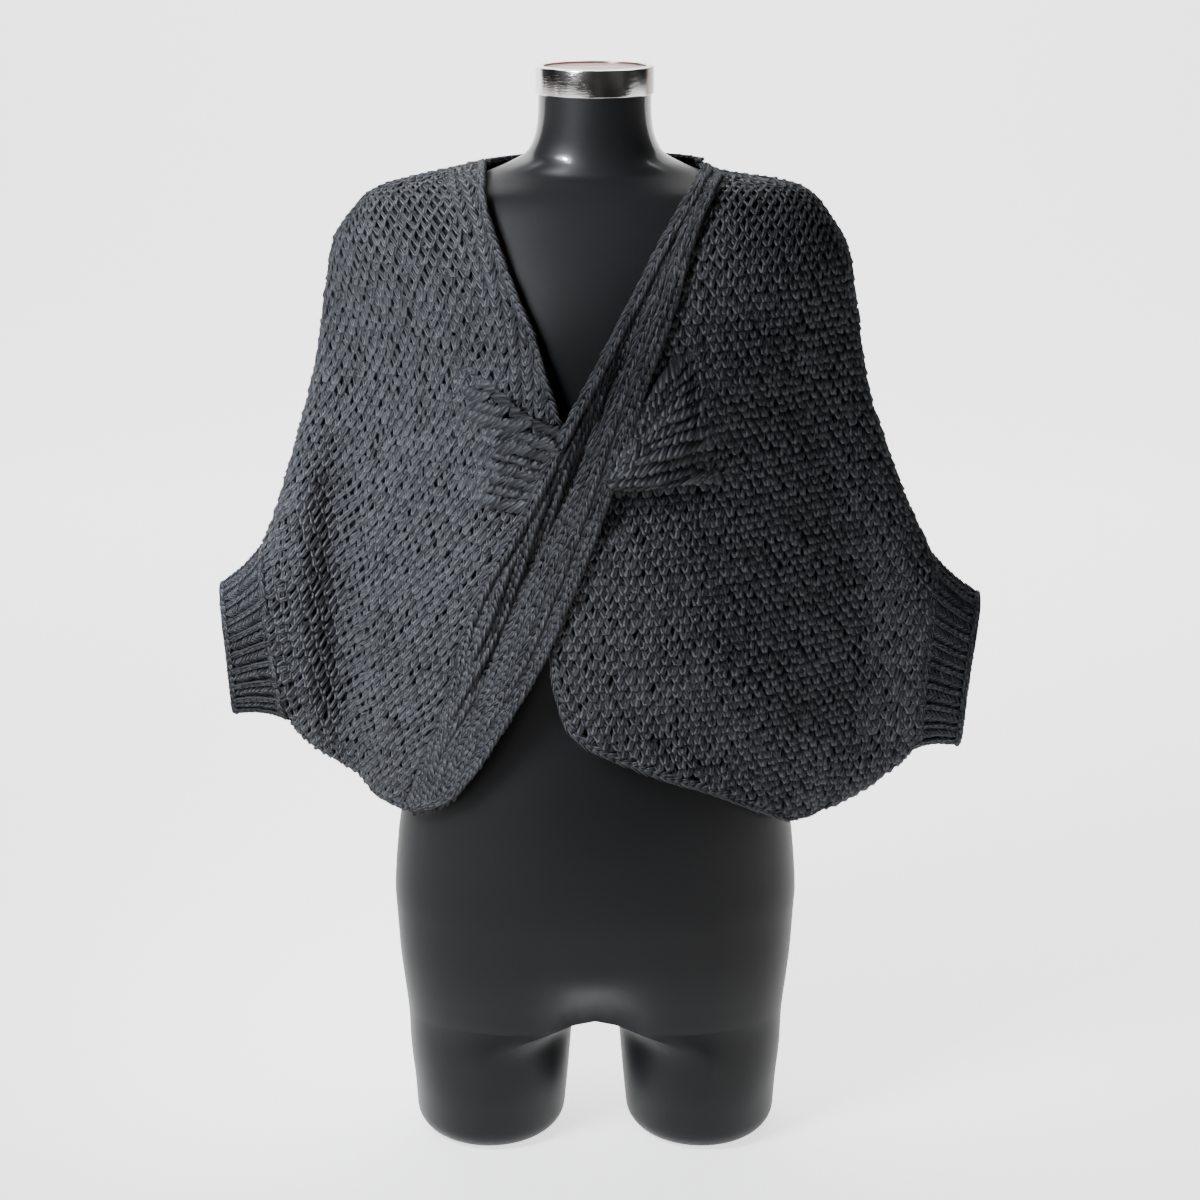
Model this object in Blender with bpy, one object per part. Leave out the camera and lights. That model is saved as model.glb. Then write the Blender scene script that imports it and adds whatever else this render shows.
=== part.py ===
"""Wrap sweater with a twisted front, worn by a glossy torso dress form.

Metres, +Z up, the front faces -Y and the wearer's left side is at +X. The sweater is a back, two
fronts, the band that crosses from the left shoulder to the right hem, and two ribbed cuffs. Each is
a wall of even thickness. Front and back meet at one plane, SEAM_Y, along shoulders and sides.
"""

import math
from typing import NamedTuple

import bmesh
import bpy
from mathutils import Vector

# Driving dimensions
WALL = 0.003  # thickness of the knitted cloth
GAP = 0.0003  # space between pieces that meet
SEAM_Y = 0.004  # plane of the shoulder and side seams
WING_HALF = 0.027  # half the thickness of the empty sleeve
WING_ROUND = 0.046  # distance from the sleeve's edge over which it rounds off
NECK_HALF = 0.087  # half the width of the neck opening at the shoulder seams
BAND_PROUD = 0.0042  # how far the crossing band stands off the fronts
BAND_CROWN = 0.0035  # how much its middle swells
CUFF_PINCH = 0.004  # how far the ribbing draws in between seam and mouth
NECK_RADIUS = 0.0438
CAP_RADIUS = 0.0458
CAP_BASE_Z = 0.8690
CAP_HEIGHT = 0.0215
CAP_WALL = 0.0060
CAP_BEVEL = 0.0012
DISC_DROP = 0.0012  # the disc's top lies this far below the rim
CROTCH_Z = 0.1120
CROTCH_ARCH = 0.030  # height of the rounded arch between the thighs
CROTCH_TUCK = 0.40  # share of its depth by which the form draws in at the crotch
TUCK_WIDTH = 0.036
TUCK_HEIGHT = 0.060
HIP_SQUARE = 0.76  # how square the hips' ring is at the crotch: 1 is an ellipse
HIP_TOP_Z = 0.260  # where it is an ellipse again
THIGH_MORPH = 0.075  # height over which the thigh's outer side turns into its ellipse
THIGH_ROUND = 0.018
BUST = 0.012  # how far the two soft lobes of the chest stand out
FORM_SEGMENTS = 40
INNER_POINTS = 7  # points across the inside of each thigh
CAP_SEGMENTS = 48


class Point(NamedTuple):
    """A point of a flat outline, seen from the front."""

    x: float
    z: float


class Level(NamedTuple):
    """The worn sweater at one height: depth in front and behind, half width and roundness."""

    z: float
    front: float
    back: float
    reach: float
    power: float


class Ring(NamedTuple):
    """The dress form at one height: half width, depth in front and depth behind."""

    z: float
    half: float
    front: float
    back: float


class ThighRing(NamedTuple):
    """One thigh at one height: its middle, half width, depth in front and depth behind."""

    z: float
    centre: float
    half: float
    front: float
    back: float


class BandRow(NamedTuple):
    """The crossing band's two edges, from the shoulder seam down to the hem."""

    left_x: float
    left_z: float
    right_x: float
    right_z: float


class Fold(NamedTuple):
    """A soft ridge (rise above 0) or trough along a line, as half_width on each side of it."""

    x0: float
    z0: float
    x1: float
    z1: float
    rise: float
    half_width: float


class Step(NamedTuple):
    """A layer edge along a line: cloth above it changes by over, cloth below it by under."""

    x0: float
    z0: float
    x1: float
    z1: float
    over: float
    under: float
    reach: float


LEVELS = (
    Level(0.8145, 0.050, 0.0575, 0.087, 0.50),
    Level(0.8055, 0.057, 0.0635, 0.120, 0.50),
    Level(0.7985, 0.063, 0.0690, 0.160, 0.50),
    Level(0.7910, 0.068, 0.0750, 0.175, 0.50),
    Level(0.7830, 0.073, 0.0800, 0.185, 0.50),
    Level(0.7710, 0.080, 0.0850, 0.195, 0.52),
    Level(0.7550, 0.088, 0.0910, 0.200, 0.56),
    Level(0.7350, 0.098, 0.0970, 0.203, 0.66),
    Level(0.7000, 0.111, 0.1010, 0.205, 0.88),
    Level(0.6600, 0.123, 0.1040, 0.209, 1.08),
    Level(0.6200, 0.127, 0.1060, 0.215, 1.20),
    Level(0.5800, 0.127, 0.1070, 0.221, 1.20),
    Level(0.5400, 0.125, 0.1080, 0.227, 1.20),
    Level(0.5000, 0.122, 0.1090, 0.230, 1.15),
    Level(0.4300, 0.118, 0.1150, 0.230, 1.05),
    Level(0.3600, 0.115, 0.1230, 0.212, 0.85),
    Level(0.3000, 0.113, 0.1270, 0.190, 0.70),
    Level(0.2600, 0.112, 0.1280, 0.180, 0.65),
)

FORM_RINGS = (
    Ring(CROTCH_Z, 0.1580, 0.084, 0.092),
    Ring(0.1200, 0.1588, 0.086, 0.095),
    Ring(0.1300, 0.1600, 0.088, 0.098),
    Ring(0.1450, 0.1618, 0.091, 0.102),
    Ring(0.1650, 0.1640, 0.094, 0.106),
    Ring(0.1950, 0.1660, 0.097, 0.110),
    Ring(0.2250, 0.1670, 0.099, 0.111),
    Ring(0.2900, 0.1600, 0.098, 0.103),
    Ring(0.3600, 0.1410, 0.092, 0.088),
    Ring(0.4300, 0.1250, 0.087, 0.079),
    Ring(0.5000, 0.1280, 0.091, 0.079),
    Ring(0.5400, 0.1340, 0.095, 0.081),
    Ring(0.5800, 0.1420, 0.100, 0.084),
    Ring(0.6200, 0.1500, 0.104, 0.087),
    Ring(0.6600, 0.1610, 0.102, 0.089),
    Ring(0.7000, 0.1750, 0.097, 0.089),
    Ring(0.7350, 0.1830, 0.086, 0.087),
    Ring(0.7550, 0.1830, 0.077, 0.083),
    Ring(0.7710, 0.1790, 0.069, 0.078),
    Ring(0.7830, 0.1700, 0.063, 0.073),
    Ring(0.7918, 0.1590, 0.058, 0.068),
    Ring(0.7966, 0.1440, 0.055, 0.065),
    Ring(0.7997, 0.1250, 0.053, 0.062),
    Ring(0.8031, 0.1050, 0.051, 0.059),
    Ring(0.8063, 0.0920, 0.049, 0.056),
    Ring(0.8108, 0.0800, 0.046, 0.052),
    Ring(0.8160, 0.0680, 0.045, 0.049),
    Ring(0.8230, 0.0550, 0.0435, 0.0470),
    Ring(0.8320, 0.0488, 0.0430, 0.0455),
    Ring(0.8420, 0.0455, 0.0433, 0.0448),
    Ring(0.8540, 0.0441, 0.0437, 0.0442),
    Ring(CAP_BASE_Z, NECK_RADIUS, NECK_RADIUS, NECK_RADIUS),
)
THIGH_RINGS = (
    ThighRing(CROTCH_Z, 0.0885, 0.0690, 0.080, 0.088),
    ThighRing(0.0820, 0.0885, 0.0680, 0.078, 0.086),
    ThighRing(0.0500, 0.0885, 0.0655, 0.075, 0.082),
    ThighRing(0.0180, 0.0890, 0.0630, 0.070, 0.077),
    ThighRing(0.0000, 0.0890, 0.0620, 0.068, 0.075),
)

# Shoulder seams, from the neck opening to where the sleeve starts to fall
RIDGE_RIGHT = (
    Point(-0.087, 0.8160), Point(-0.103, 0.8125), Point(-0.119, 0.8090), Point(-0.147, 0.8030),
    Point(-0.166, 0.7975), Point(-0.180, 0.7905),
)
RIDGE_LEFT = (
    Point(0.087, 0.8145), Point(0.100, 0.8080), Point(0.120, 0.8045), Point(0.139, 0.8022),
    Point(0.154, 0.7998), Point(0.166, 0.7950), Point(0.176, 0.7865),
)

# Outer edges: the sleeve's fall, the cuff seam (CUFF_TOP to CUFF_BOTTOM), the underarm, the hem
OUTER_RIGHT = (
    Point(-0.1800, 0.7905), Point(-0.2030, 0.7600), Point(-0.2115, 0.7220), Point(-0.2185, 0.6760),
    Point(-0.2280, 0.6330), Point(-0.2390, 0.5960), Point(-0.2495, 0.5610), Point(-0.2600, 0.5300),
    Point(-0.2680, 0.5080), Point(-0.2655, 0.4700), Point(-0.2620, 0.4310), Point(-0.2570, 0.3940),
    Point(-0.2520, 0.3600), Point(-0.2350, 0.3385), Point(-0.2150, 0.3250), Point(-0.1990, 0.3150),
    Point(-0.1870, 0.3040),
)
OUTER_LEFT = (
    Point(0.1760, 0.7865), Point(0.1980, 0.7520), Point(0.2055, 0.7100), Point(0.2120, 0.6660),
    Point(0.2205, 0.6270), Point(0.2330, 0.5920), Point(0.2455, 0.5600), Point(0.2590, 0.5290),
    Point(0.2720, 0.5000), Point(0.2700, 0.4590), Point(0.2670, 0.4180), Point(0.2640, 0.3760),
    Point(0.2610, 0.3340), Point(0.2370, 0.3100), Point(0.2150, 0.2940), Point(0.2010, 0.2860),
    Point(0.1900, 0.2820),
)
CUFF_TOP, CUFF_BOTTOM, HEM = 8, 12, 16  # places along the outer edges
MOUTH_RIGHT = (Point(-0.3050, 0.4745), Point(-0.2975, 0.3650))
MOUTH_LEFT = (Point(0.3130, 0.4665), Point(0.3000, 0.3370))
MOUTH_HOLLOW = 0.003  # how far the mouth's edge bows inwards

# The right front's neckline, from the shoulder down to where the band covers it
NECKLINE = (
    Point(-0.0870, 0.8160), Point(-0.0840, 0.7900), Point(-0.0750, 0.7640),
    Point(-0.0610, 0.7290), Point(-0.0460, 0.6950), Point(-0.0340, 0.6560),
)
# The left front's free edge below the band, down to its hem
LEFT_FREE_EDGE = (
    Point(-0.0285, 0.4180), Point(-0.0130, 0.3820), Point(0.0400, 0.3540),
    Point(0.1000, 0.3270), Point(0.1560, 0.2920),
)
BAND = (
    BandRow(0.0870, 0.8145, 0.0960, 0.8092),
    BandRow(0.0790, 0.8030, 0.0870, 0.7980),
    BandRow(0.0670, 0.7880, 0.0780, 0.7820),
    BandRow(0.0520, 0.7640, 0.0680, 0.7560),
    BandRow(0.0340, 0.7320, 0.0580, 0.7220),
    BandRow(0.0160, 0.7000, 0.0460, 0.6900),
    BandRow(0.0000, 0.6700, 0.0340, 0.6580),
    BandRow(-0.0155, 0.6420, 0.0240, 0.6260),
    BandRow(-0.0290, 0.6140, 0.0135, 0.5940),
    BandRow(-0.0430, 0.5830, 0.0035, 0.5620),
    BandRow(-0.0610, 0.5470, -0.0080, 0.5280),
    BandRow(-0.0800, 0.5130, -0.0200, 0.4960),
    BandRow(-0.0960, 0.4740, -0.0340, 0.4600),
    BandRow(-0.1060, 0.4340, -0.0510, 0.4250),
    BandRow(-0.1180, 0.3930, -0.0720, 0.3880),
    BandRow(-0.1320, 0.3540, -0.0930, 0.3530),
    BandRow(-0.1505, 0.3020, -0.1120, 0.3270),
)
BAND_END = len(BAND) - 1
COVER_START = 7.8  # the band row at which it first covers the right front
UNDER_LAP = 0.007  # how far the fronts run on beneath the band
BUTT_GAP = 0.0005  # and the space where they stop beside it

FRONT_FOLDS = (
    Fold(-0.208, 0.585, -0.198, 0.335, -0.011, 0.020),
    Fold(-0.174, 0.560, -0.168, 0.330, 0.005, 0.016),
    Fold(-0.100, 0.640, -0.040, 0.600, 0.004, 0.012),
    Fold(-0.170, 0.470, -0.110, 0.350, 0.004, 0.022),
    Fold(0.100, 0.640, 0.030, 0.600, 0.005, 0.012),
    Fold(0.150, 0.690, 0.050, 0.625, 0.004, 0.020),
    Fold(0.060, 0.480, 0.190, 0.330, 0.005, 0.030),
    Fold(0.228, 0.520, 0.222, 0.340, -0.006, 0.022),
    Fold(0.000, 0.440, 0.110, 0.345, -0.004, 0.020),
)
FRONT_STEPS = (
    Step(-0.105, 0.668, -0.022, 0.622, -0.002, 0.005, 0.040),
    Step(0.006, 0.588, 0.112, 0.588, 0.003, -0.006, 0.045),
)
BACK_FOLDS = (
    Fold(-0.200, 0.600, -0.203, 0.390, -0.007, 0.022),
    Fold(0.206, 0.600, 0.210, 0.370, -0.007, 0.022),
    Fold(-0.090, 0.690, -0.150, 0.420, 0.005, 0.026),
    Fold(0.080, 0.700, 0.150, 0.400, 0.005, 0.026),
    Fold(0.010, 0.640, -0.020, 0.330, -0.005, 0.035),
    Fold(-0.060, 0.500, -0.090, 0.310, 0.004, 0.024),
    Fold(0.070, 0.480, 0.085, 0.300, 0.004, 0.024),
)

BODY_ROWS = (
    0, 0.08, 0.25, 0.5, 1, 1.5, 2, 2.5, 3, 3.5, 4, 4.5, 5, 5.5, 6, 6.5, 7, 7.5,
    8, 8.15, 8.5, 9, 10, 11, 11.55, 11.85, 12, 13, 14, 15, 16,
)
CUFF_ROWS = tuple(row for row in BODY_ROWS if CUFF_TOP <= row <= CUFF_BOTTOM)
BAND_ROWS = (0, 0.1, 0.3, 0.6, 1, 1.5, 2, *(2.5 + 0.75 * step for step in range(18)), BAND_END)
BAND_COLUMNS = (0, 0.12, 0.36, 0.64, 0.88, 1)
FRONT_COLUMNS = tuple(1 - (1 - step / 11) ** 1.4 for step in range(12))
CUFF_RINGS = 5
SLOPE_STEP = 0.003  # spacing for reading the surface's slope
EDGE_SAMPLES = 6


def mix(a, b, share):
    return a + (b - a) * share


def ease(low, high, value):
    """0 below low, 1 above high and a smooth rise between them."""
    share = min(max((value - low) / (high - low), 0.0), 1.0)
    return share * share * (3 - 2 * share)


def along(points, place):
    """The point at a place, such as 2.5, along a smooth curve through a table's rows."""
    last = len(points) - 1
    index = min(int(place), last - 1)
    share = place - index
    before = points[max(index - 1, 0)]
    start, end = points[index], points[index + 1]
    after = points[min(index + 2, last)]
    found = []
    for a, b, c, d in zip(before, start, end, after):
        bend = (2 * a - 5 * b + 4 * c - d) * share + (c - a)
        found.append(b + 0.5 * share * (bend + (3 * (b - c) + d - a) * share * share))
    return found


def at_height(table, z):
    """A table's row at any height, by a straight line between its neighbours."""
    rows = sorted(table)
    z = min(max(z, rows[0][0]), rows[-1][0])
    for low, high in zip(rows, rows[1:]):
        if z <= high[0]:
            share = (z - low[0]) / (high[0] - low[0])
            return [mix(a, b, share) for a, b in zip(low, high)]
    return list(rows[-1])


def samples(points, first, last):
    """Points close together along part of a smooth curve."""
    count = max(1, round((last - first) * EDGE_SAMPLES))
    return [along(points, mix(first, last, i / count)) for i in range(count + 1)]


def mouth_edge(mouth):
    """A far point level with a cuff's mouth, so that the mouth counts as no edge."""
    return mouth.x * 1.3, mouth.z


def side_edges(ridge, outer, mouth):
    """Two runs of points: over shoulder, sleeve and cuff, and under the cuff to the hem."""
    upper = samples(ridge, 0, len(ridge) - 1) + samples(outer, 0, CUFF_TOP)
    lower = samples(outer, CUFF_BOTTOM, HEM)
    top, bottom = mouth
    return [[*upper, top, mouth_edge(top)], [mouth_edge(bottom), bottom, *lower]]


EDGES = {
    False: side_edges(RIDGE_RIGHT, OUTER_RIGHT, MOUTH_RIGHT),
    True: side_edges(RIDGE_LEFT, OUTER_LEFT, MOUTH_LEFT),
}
SHOULDERS = {
    False: samples(RIDGE_RIGHT, 0, len(RIDGE_RIGHT) - 1) + samples(OUTER_RIGHT, 0, 2),
    True: samples(RIDGE_LEFT, 0, len(RIDGE_LEFT) - 1) + samples(OUTER_LEFT, 0, 2),
}


def distance_to_run(x, z, run):
    nearest = 1.0
    for (ax, az), (bx, bz) in zip(run, run[1:]):
        dx, dz = bx - ax, bz - az
        length = dx * dx + dz * dz
        share = ((x - ax) * dx + (z - az) * dz) / length if length else 0.0
        share = min(max(share, 0.0), 1.0)
        nearest = min(nearest, math.hypot(x - ax - share * dx, z - az - share * dz))
    return nearest


def shoulder_reach(left_side, z):
    """Half the sweater's width at a height of the shoulder."""
    rows = [(point[1], abs(point[0])) for point in SHOULDERS[left_side]]
    return at_height(rows, z)[1]


def shoulder_height(left_side, x):
    """The height of the shoulder seam at a distance from the middle."""
    rows = [(abs(point[0]), point[1]) for point in SHOULDERS[left_side]]
    return at_height(rows, abs(x))[1]


def half_depth(x, z, front):
    """From the seam plane to the cloth's outer face, with no folds."""
    left_side = x >= 0
    level = Level(*at_height(LEVELS, z))
    reach = mix(level.reach, shoulder_reach(left_side, z), ease(0.700, 0.745, z))
    depth = level.front + SEAM_Y if front else level.back - SEAM_Y
    inside = max(1 - (x / reach) ** 2, 0.0)
    bulge = depth * inside**level.power
    edge = min(distance_to_run(x, z, run) for run in EDGES[left_side])
    rise = 1 - min(edge / WING_ROUND, 1.0)
    wing = WING_HALF * math.sqrt(1 - rise * rise)
    return (bulge**3 + wing**3) ** (1 / 3)


def fold_rise(x, z, fold):
    dx, dz = fold.x1 - fold.x0, fold.z1 - fold.z0
    length = math.hypot(dx, dz)
    share = ((x - fold.x0) * dx + (z - fold.z0) * dz) / length**2
    aside = abs((x - fold.x0) * dz - (z - fold.z0) * dx) / length
    fade = ease(-0.15, 0.25, share) * (1 - ease(0.75, 1.15, share))
    return fold.rise * fade * math.exp(-((aside / fold.half_width) ** 2))


def step_rise(x, z, step):
    dx, dz = step.x1 - step.x0, step.z1 - step.z0
    length = math.hypot(dx, dz)
    share = ((x - step.x0) * dx + (z - step.z0) * dz) / length**2
    above = ((z - step.z0) * dx - (x - step.x0) * dz) / length
    from_middle = share if step.x0 > 0 else 1 - share
    fade = ease(-0.35, -0.05, from_middle) * (1 - ease(0.45, 1.1, from_middle))
    side = mix(step.under, step.over, ease(-0.006, 0.006, above))
    return side * fade * (1 - ease(0.25 * step.reach, step.reach, abs(above)))


def relief(x, z, front):
    folds = FRONT_FOLDS if front else BACK_FOLDS
    total = sum(fold_rise(x, z, fold) for fold in folds)
    if front:
        total += sum(step_rise(x, z, step) for step in FRONT_STEPS)
    edge = min(distance_to_run(x, z, run) for run in EDGES[x >= 0])
    return total * ease(0.0, 0.035, edge)


def surface(x, z, front, folds=1.0):
    """A point of the cloth's outer face and the direction out of it."""
    facing = -1 if front else 1

    def depth(at_x, at_z):
        return half_depth(at_x, at_z, front) + folds * relief(at_x, at_z, front)

    slope_x = (depth(x + SLOPE_STEP, z) - depth(x - SLOPE_STEP, z)) / (2 * SLOPE_STEP)
    slope_z = (depth(x, z + SLOPE_STEP) - depth(x, z - SLOPE_STEP)) / (2 * SLOPE_STEP)
    outwards = Vector((-slope_x, facing, -slope_z)).normalized()
    return Vector((x, SEAM_Y + facing * (depth(x, z) + GAP / 2), z)), outwards


def seam_point(x, z, neighbours, front):
    """A point on the seam plane, its outward direction square to the edge's own run."""
    (ax, az), (bx, bz) = neighbours
    across = Vector((bz - az, 0, ax - bx)).normalized()
    centre = Vector((0, 0, 0.55))
    if across.dot(Vector((x, 0, z)) - centre) < 0:
        across.negate()
    facing = -1 if front else 1
    return Vector((x, SEAM_Y + facing * GAP / 2, z)), across


def level_with_seam(outwards, neighbours):
    """An outward direction with nothing across the cuff seam, so that the cut is square."""
    (ax, az), (bx, bz) = neighbours
    across = Vector((bz - az, 0, ax - bx)).normalized()
    return (outwards - across * outwards.dot(across)).normalized()


def walled(name, grid, material):
    """One closed wall: the outer face, WALL behind it the inner one, and the rim between them."""
    mesh = bpy.data.meshes.new(name)
    shape = bmesh.new()
    outer = [[shape.verts.new(point) for point, _ in row] for row in grid]
    inner = [[shape.verts.new(point - outwards * WALL) for point, outwards in row] for row in grid]
    rows, columns = len(grid), len(grid[0])
    for i in range(rows - 1):
        for j in range(columns - 1):
            corners = ((i, j), (i, j + 1), (i + 1, j + 1), (i + 1, j))
            a, b, c, d = (outer[k][m].co for k, m in corners)
            turn = 1 if (a - c).length > (b - d).length else 0
            for step in (0, 2):
                three = [corners[(turn + step + n) % 4] for n in range(3)]
                shape.faces.new([outer[k][m] for k, m in three])
                shape.faces.new([inner[k][m] for k, m in reversed(three)])
    rim = [(i, 0) for i in range(rows)]
    rim += [(rows - 1, j) for j in range(1, columns)]
    rim += [(i, columns - 1) for i in range(rows - 2, -1, -1)]
    rim += [(0, j) for j in range(columns - 2, 0, -1)]
    for (i, j), (k, m) in zip(rim, rim[1:] + rim[:1]):
        shape.faces.new((outer[i][j], outer[k][m], inner[k][m], inner[i][j]))
    return finished(name, mesh, shape, material)


def finished(name, mesh, shape, material):
    bmesh.ops.recalc_face_normals(shape, faces=shape.faces)
    if shape.calc_volume(signed=True) < 0:
        bmesh.ops.reverse_faces(shape, faces=shape.faces)
    shape.to_mesh(mesh)
    shape.free()
    mesh.shade_smooth()
    mesh.set_sharp_from_angle(angle=math.radians(50))
    mesh.materials.append(material)
    obj = bpy.data.objects.new(name, mesh)
    bpy.context.scene.collection.objects.link(obj)
    return obj


def edge_direction(outer, row):
    """Two points of an outer edge, just before and just after a row."""
    step = 0.05
    return along(outer, max(row - step, 0)), along(outer, min(row + step, HEM))


def body_point(x, z, row, share, outer, front, folds=1.0):
    """A grid point of a front or the back. Share is 1 on the outer edge."""
    if share == 1 and not CUFF_TOP < row < CUFF_BOTTOM:
        return seam_point(x, z, edge_direction(outer, row), front)
    point, outwards = surface(x, z, front, folds)
    if share == 1:
        outwards = level_with_seam(outwards, edge_direction(outer, row))
    return point, outwards


def ridge_point(x, left_side, front):
    """A point of the shoulder seam."""
    step = 0.002
    ends = [(x + shift, shoulder_height(left_side, x + shift)) for shift in (-step, step)]
    return seam_point(x, shoulder_height(left_side, x), ends, front)


def beside_band(row, left_edge, lap):
    """A point beside one edge of the band, or beneath it by lap."""
    left_x, left_z, right_x, right_z = along(BAND, row)
    left, right = Vector((left_x, 0, left_z)), Vector((right_x, 0, right_z))
    inwards = (right - left).normalized() * (1 if left_edge else -1)
    found = (left if left_edge else right) + inwards * lap
    return found.x, found.z


def right_inner_edge(row):
    """The right front's neckline, then its margin beneath the band, then beside the band."""
    last = len(NECKLINE)
    if row < last:
        return along([*NECKLINE, beside_band(COVER_START, True, UNDER_LAP)], row)
    place = mix(COVER_START, BAND_END, (row - last) / (HEM - last))
    lap = mix(UNDER_LAP, -BUTT_GAP, ease(10, 12, row))
    return beside_band(place, True, lap)


def left_inner_edge(row):
    """The left front's margin beneath the band, then its free edge down to the hem."""
    covered = CUFF_BOTTOM - 1
    if row > covered:
        start = beside_band(covered + 1, False, 0)
        return along([start, *LEFT_FREE_EDGE], row - covered)
    lap = mix(-BUTT_GAP, UNDER_LAP, ease(1.2, 2.2, row)) * (1 - ease(9, covered, row))
    return beside_band(row * (covered + 1) / covered, False, lap)


def front_panel(name, left_side, material):
    """One front, from its inner edge out to the sleeve's edge and from shoulder to hem."""
    outer = OUTER_LEFT if left_side else OUTER_RIGHT
    inner_edge = left_inner_edge if left_side else right_inner_edge
    top_in, top_out = inner_edge(0), outer[0]
    grid = []
    for row in BODY_ROWS:
        start, end = inner_edge(row), along(outer, row)
        line = []
        for share in FRONT_COLUMNS:
            top_x = mix(top_in[0], top_out[0], share)
            if row == 0:
                line.append(ridge_point(top_x, left_side, True))
                continue
            bow = shoulder_height(left_side, top_x) - mix(top_in[1], top_out[1], share)
            x = mix(start[0], end[0], share)
            z = mix(start[1], end[1], share) + bow * max(1 - row / 3, 0) ** 2
            line.append(body_point(x, z, row, share, outer, True, ease(0.06, 0.20, share)))
        grid.append(line)
    return walled(name, grid, material)


def neck_columns():
    """The back's top row from end to end: shoulder, half an ellipse round the neck, shoulder."""
    shoulder, neck = 6, 8
    right_end, left_end = OUTER_RIGHT[0].x, OUTER_LEFT[0].x
    right = [mix(right_end, -NECK_HALF, i / shoulder) for i in range(shoulder)]
    middle = [-NECK_HALF * math.cos(math.pi * i / neck) for i in range(neck + 1)]
    left = [mix(NECK_HALF, left_end, i / shoulder) for i in range(1, shoulder + 1)]
    return right + middle + left


def back_panel(name, material):
    tops = neck_columns()
    last = len(tops) - 1
    right_end, left_end = OUTER_RIGHT[0], OUTER_LEFT[0]
    grid = []
    for row in BODY_ROWS:
        start, end = along(OUTER_RIGHT, row), along(OUTER_LEFT, row)
        line = []
        for column, top_x in enumerate(tops):
            even = 0.5 - 0.5 * math.cos(math.pi * column / last)
            even = mix(even, column / last, 0.45)
            top_share = (top_x - right_end.x) / (left_end.x - right_end.x)
            share = mix(top_share, even, ease(0, 4, row))
            around_neck = abs(top_x) < NECK_HALF - GAP
            left_side = top_x >= 0
            top_z = shoulder_height(left_side, top_x)
            if around_neck:
                top_z = mix(RIDGE_RIGHT[0].z, RIDGE_LEFT[0].z, 0.5 + top_x / (2 * NECK_HALF))
            if row == 0 and not around_neck:
                line.append(ridge_point(top_x, left_side, False))
                continue
            bow = top_z - mix(right_end.z, left_end.z, top_share)
            x = mix(start[0], end[0], share)
            z = mix(start[1], end[1], share) + bow * max(1 - row / 4, 0) ** 2
            outer = OUTER_LEFT if left_side else OUTER_RIGHT
            on_edge = 1 if column in (0, last) else 0
            line.append(body_point(x, z, row, on_edge, outer, False))
        grid.append(line)
    return walled(name, grid, material)


def band_height(row, share):
    """How far the band stands off the fronts at a row and a share of its width."""
    proud = BAND_PROUD * ease(0, 1.2, row) * (1 - ease(13.2, 15.6, row))
    crown = BAND_CROWN * ease(1, 5, row) * (1 - ease(12.0, 15.0, row))
    return proud + crown * (1 - (2 * share - 1) ** 2)


def crossing_band(name, material):
    """The strip that crosses over in front, from the left shoulder seam to the right hem."""
    grid = []
    for row in BAND_ROWS:
        left_x, left_z, right_x, right_z = along(BAND, row)
        line = []
        for share in BAND_COLUMNS:
            x = mix(left_x, right_x, share)
            if row == 0:
                line.append(ridge_point(x, True, True))
                continue
            sag = 0.004 * ease(14, BAND_END, row) * share * (1 - share) * 4
            point, outwards = surface(x, mix(left_z, right_z, share) - sag, True, 0.0)
            line.append((point + outwards * band_height(row, share), outwards))
        grid.append(line)
    return walled(name, grid, material)


def cuff_place(outer, mouth, row, share):
    """A point of the cuff seen from the front: share is 0 at the seam and 1 at the mouth."""
    down = (row - CUFF_TOP) / (CUFF_BOTTOM - CUFF_TOP)
    seam_x, seam_z = along(outer, row)
    top, bottom = mouth
    mouth_x = mix(top.x, bottom.x, down)
    mouth_x -= math.copysign(MOUTH_HOLLOW * 4 * down * (1 - down), mouth_x)
    mouth_z = mix(top.z, bottom.z, down)
    pinch = CUFF_PINCH * 4 * share * (1 - share) * (2 * down - 1)
    x = mix(seam_x, mouth_x, share) + math.copysign(GAP * (1 - share), seam_x)
    return x, mix(seam_z, mouth_z, share) + pinch


def cuff(name, outer, mouth, material):
    """A ribbed tube: each ring runs down the front face and up the back one."""
    places = [(row, True) for row in CUFF_ROWS] + [(row, False) for row in CUFF_ROWS[-2:0:-1]]
    mesh = bpy.data.meshes.new(name)
    shape = bmesh.new()
    shells = []
    for inset in (0.0, WALL):
        rings = []
        for ring in range(CUFF_RINGS + 1):
            share = ring / CUFF_RINGS
            line = [
                shape.verts.new(cuff_point(outer, mouth, row, share, front, inset))
                for row, front in places
            ]
            rings.append(line)
        shells.append(rings)
    outside, inside = shells
    skin(shape, outside)
    skin(shape, inside)
    count = len(places)
    for ring in (0, CUFF_RINGS):
        for j in range(count):
            k = (j + 1) % count
            shape.faces.new((outside[ring][j], outside[ring][k], inside[ring][k], inside[ring][j]))
    return finished(name, mesh, shape, material)


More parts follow.
